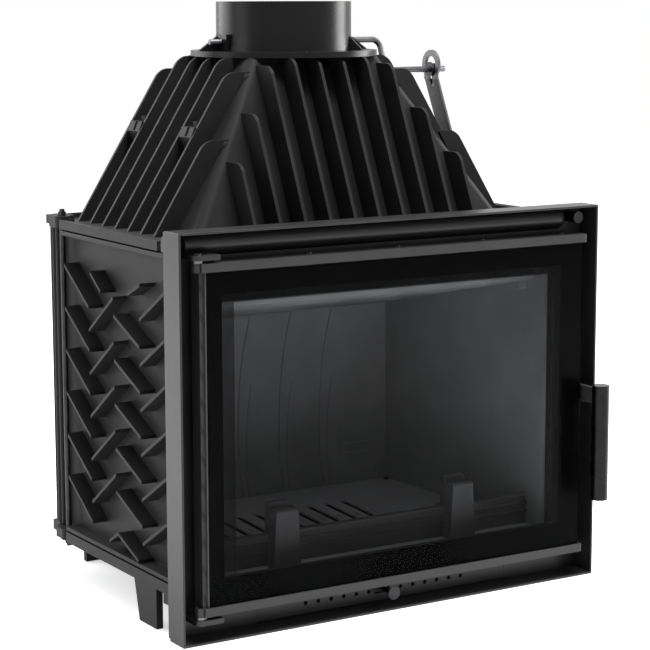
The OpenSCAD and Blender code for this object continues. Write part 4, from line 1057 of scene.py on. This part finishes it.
@dataclass
class Studio:
    """Floor, background, lamps and camera.

    Attributes:
        eye: The camera's place.
        heading: Turn from straight ahead towards the right, in degrees.
        pitch: Turn below the horizon, in degrees.
        roll: Turn about the view line, in degrees.
        focal_px: Focal length in pixels of a 650 pixel wide image.
        image_px: Width of that image.
        sensor_mm: Width of the camera's sensor.
        clip_end: How far the camera sees.
        sky: Strength of the world's light.
        floor_w: Width of the floor.
        floor_drop: How far the floor lies below the object's feet.
        floor_cells: Cells along each side of the floor.
        floor_cloud_mm: Width of the floor's faint mottling.
        floor_lift: Brightness added to the floor where it is looked at, near the object and far off.
        lift_reach: Distance from the object's middle where the lift starts to grow and where it ends.
        lamps: The softboxes.
    """

    eye: tuple[float, float, float] = (-1.5764, -2.3633, 0.8606)
    heading: float = 31.58
    pitch: float = 9.09
    roll: float = -0.14
    focal_px: float = 2079.8
    image_px: float = 650.0
    sensor_mm: float = 36.0
    clip_end: float = 100
    sky: float = 0.12
    floor_w: float = 14
    floor_drop: float = 0.0005
    floor_cells: int = 8
    floor_cloud_mm: float = 400
    floor_lift: tuple[float, float] = (0.6, 1.0)
    lift_reach: tuple[float, float] = (0.8, 2.2)
    lamps: tuple[Softbox, ...] = (
        Softbox("left_softbox", (-3.4, 1.2, 1.6), (-0.3, 0.2, 0.4), (1.4, 2.4), 26),
        Softbox("back_softbox", (-1.6, 3.2, 1.9), (-0.2, 0.2, 0.5), (2.6, 2.6), 120),
        Softbox("right_softbox", (3.4, -0.2, 1.6), (0.3, 0.2, 0.5), (1.6, 2.4), 185),
        Softbox("front_softbox", (0.4, -0.6, 3.5), (0.0, 0.2, 0.6), (1.4, 1.0), 190),
        Softbox("top_softbox", (-0.7, 0.1, 3.2), (0.0, 0.2, 0.5), (1.6, 1.6), 36),
    )

    def camera(self) -> None:
        """Makes the camera at the photo's viewpoint."""
        data = bpy.data.cameras.new("camera")
        data.sensor_width = self.sensor_mm
        data.sensor_fit = "HORIZONTAL"
        data.lens = self.focal_px / self.image_px * self.sensor_mm
        data.clip_end = self.clip_end
        camera = bpy.data.objects.new("camera", data)
        bpy.context.scene.collection.objects.link(camera)
        turn = Euler((math.radians(90 - self.pitch), 0, math.radians(-self.heading)))
        roll = Matrix.Rotation(math.radians(self.roll), 4, "Z")
        camera.matrix_world = Matrix.Translation(self.eye) @ turn.to_matrix().to_4x4() @ roll
        bpy.context.scene.camera = camera

    def floor(self) -> None:
        """Makes the pale floor, which shows white to the camera but for the shadow."""
        deselect_all()
        bpy.ops.mesh.primitive_grid_add(x_subdivisions=self.floor_cells, y_subdivisions=self.floor_cells,
                                        size=self.floor_w, location=(0, 0, -self.floor_drop))
        piece = bpy.context.object
        settle(piece)
        piece.name = "studio_floor"
        # Matt pale board: an even, nearly white grey with the faintest mottling.
        material, tree = new_material("pale_studio_floor")
        soft = grain(tree, self.floor_cloud_mm, 2.0)
        matt = add_node(tree, "ShaderNodeBsdfDiffuse", Color=ramp(tree, soft, "#e6e6e6", "#e9e9e9"))
        # The camera and reflections see the floor lifted to the background's white, and the object's
        # shadow stays darker.
        place = add_node(tree, "ShaderNodeTexCoord")
        away = add_node(tree, "ShaderNodeVectorMath", {"operation": "LENGTH"}, i0=place.outputs["Object"])
        lift = add_node(tree, "ShaderNodeMapRange", Value=away.outputs["Value"],
                        From_Min=self.lift_reach[0], From_Max=self.lift_reach[1],
                        To_Min=self.floor_lift[0], To_Max=self.floor_lift[1])
        glow = add_node(tree, "ShaderNodeEmission", Color=linear("#ffffff"),
                        Strength=lift.outputs["Result"])
        seen = add_node(tree, "ShaderNodeAddShader", i0=matt.outputs["BSDF"], i1=glow.outputs["Emission"])
        mixed = add_node(tree, "ShaderNodeMixShader", Fac=self.looked_at(tree), i1=matt.outputs["BSDF"],
                         i2=seen.outputs["Shader"])
        add_node(tree, "ShaderNodeOutputMaterial", Surface=mixed.outputs["Shader"])
        piece.data.materials.append(material)

    @staticmethod
    def looked_at(tree: bpy.types.NodeTree) -> bpy.types.NodeSocket:
        """Tells rays from the camera, from mirrors and through glass from the rest.

        Args:
            tree: The node tree.

        Returns:
            1 for those rays and 0 for the rest.
        """
        path = add_node(tree, "ShaderNodeLightPath")
        shiny = add_node(tree, "ShaderNodeMath", {"operation": "MAXIMUM"},
                         i0=path.outputs["Is Glossy Ray"], i1=path.outputs["Is Transmission Ray"])
        either = add_node(tree, "ShaderNodeMath", {"operation": "MAXIMUM"},
                          i0=path.outputs["Is Camera Ray"], i1=shiny.outputs[0])
        return either.outputs[0]

    def world(self) -> None:
        """Makes the background white where it is looked at, and a plain grey light elsewhere."""
        world = bpy.data.worlds.new("studio_world")
        world.use_nodes = True
        bpy.context.scene.world = world
        tree = world.node_tree
        tree.nodes.clear()
        light = add_node(tree, "ShaderNodeBackground", Color=linear("#ffffff"), Strength=self.sky)
        seen = add_node(tree, "ShaderNodeBackground", Color=linear("#ffffff"), Strength=1.0)
        mixed = add_node(tree, "ShaderNodeMixShader", Fac=self.looked_at(tree),
                         i1=light.outputs["Background"], i2=seen.outputs["Background"])
        add_node(tree, "ShaderNodeOutputWorld", Surface=mixed.outputs["Shader"])

    def build(self) -> None:
        """Makes the whole studio."""
        bpy.context.scene.view_settings.view_transform = "Standard"
        self.camera()
        self.floor()
        self.world()
        for lamp in self.lamps:
            lamp.build()


def main() -> None:
    """Builds the studio and dresses the insert."""
    logging.basicConfig(level=logging.INFO, format="%(name)s %(message)s")
    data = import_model()
    frame = Frame(data)
    Studio().build()
    for part in (Shell(frame), Hood(frame), Damper(frame), AirControl(frame), Firebox(frame),
                 Door(frame), Latch(frame)):
        LOG.info("building %s", type(part).__name__)
        part.build()


if __name__ == "__main__":
    main()
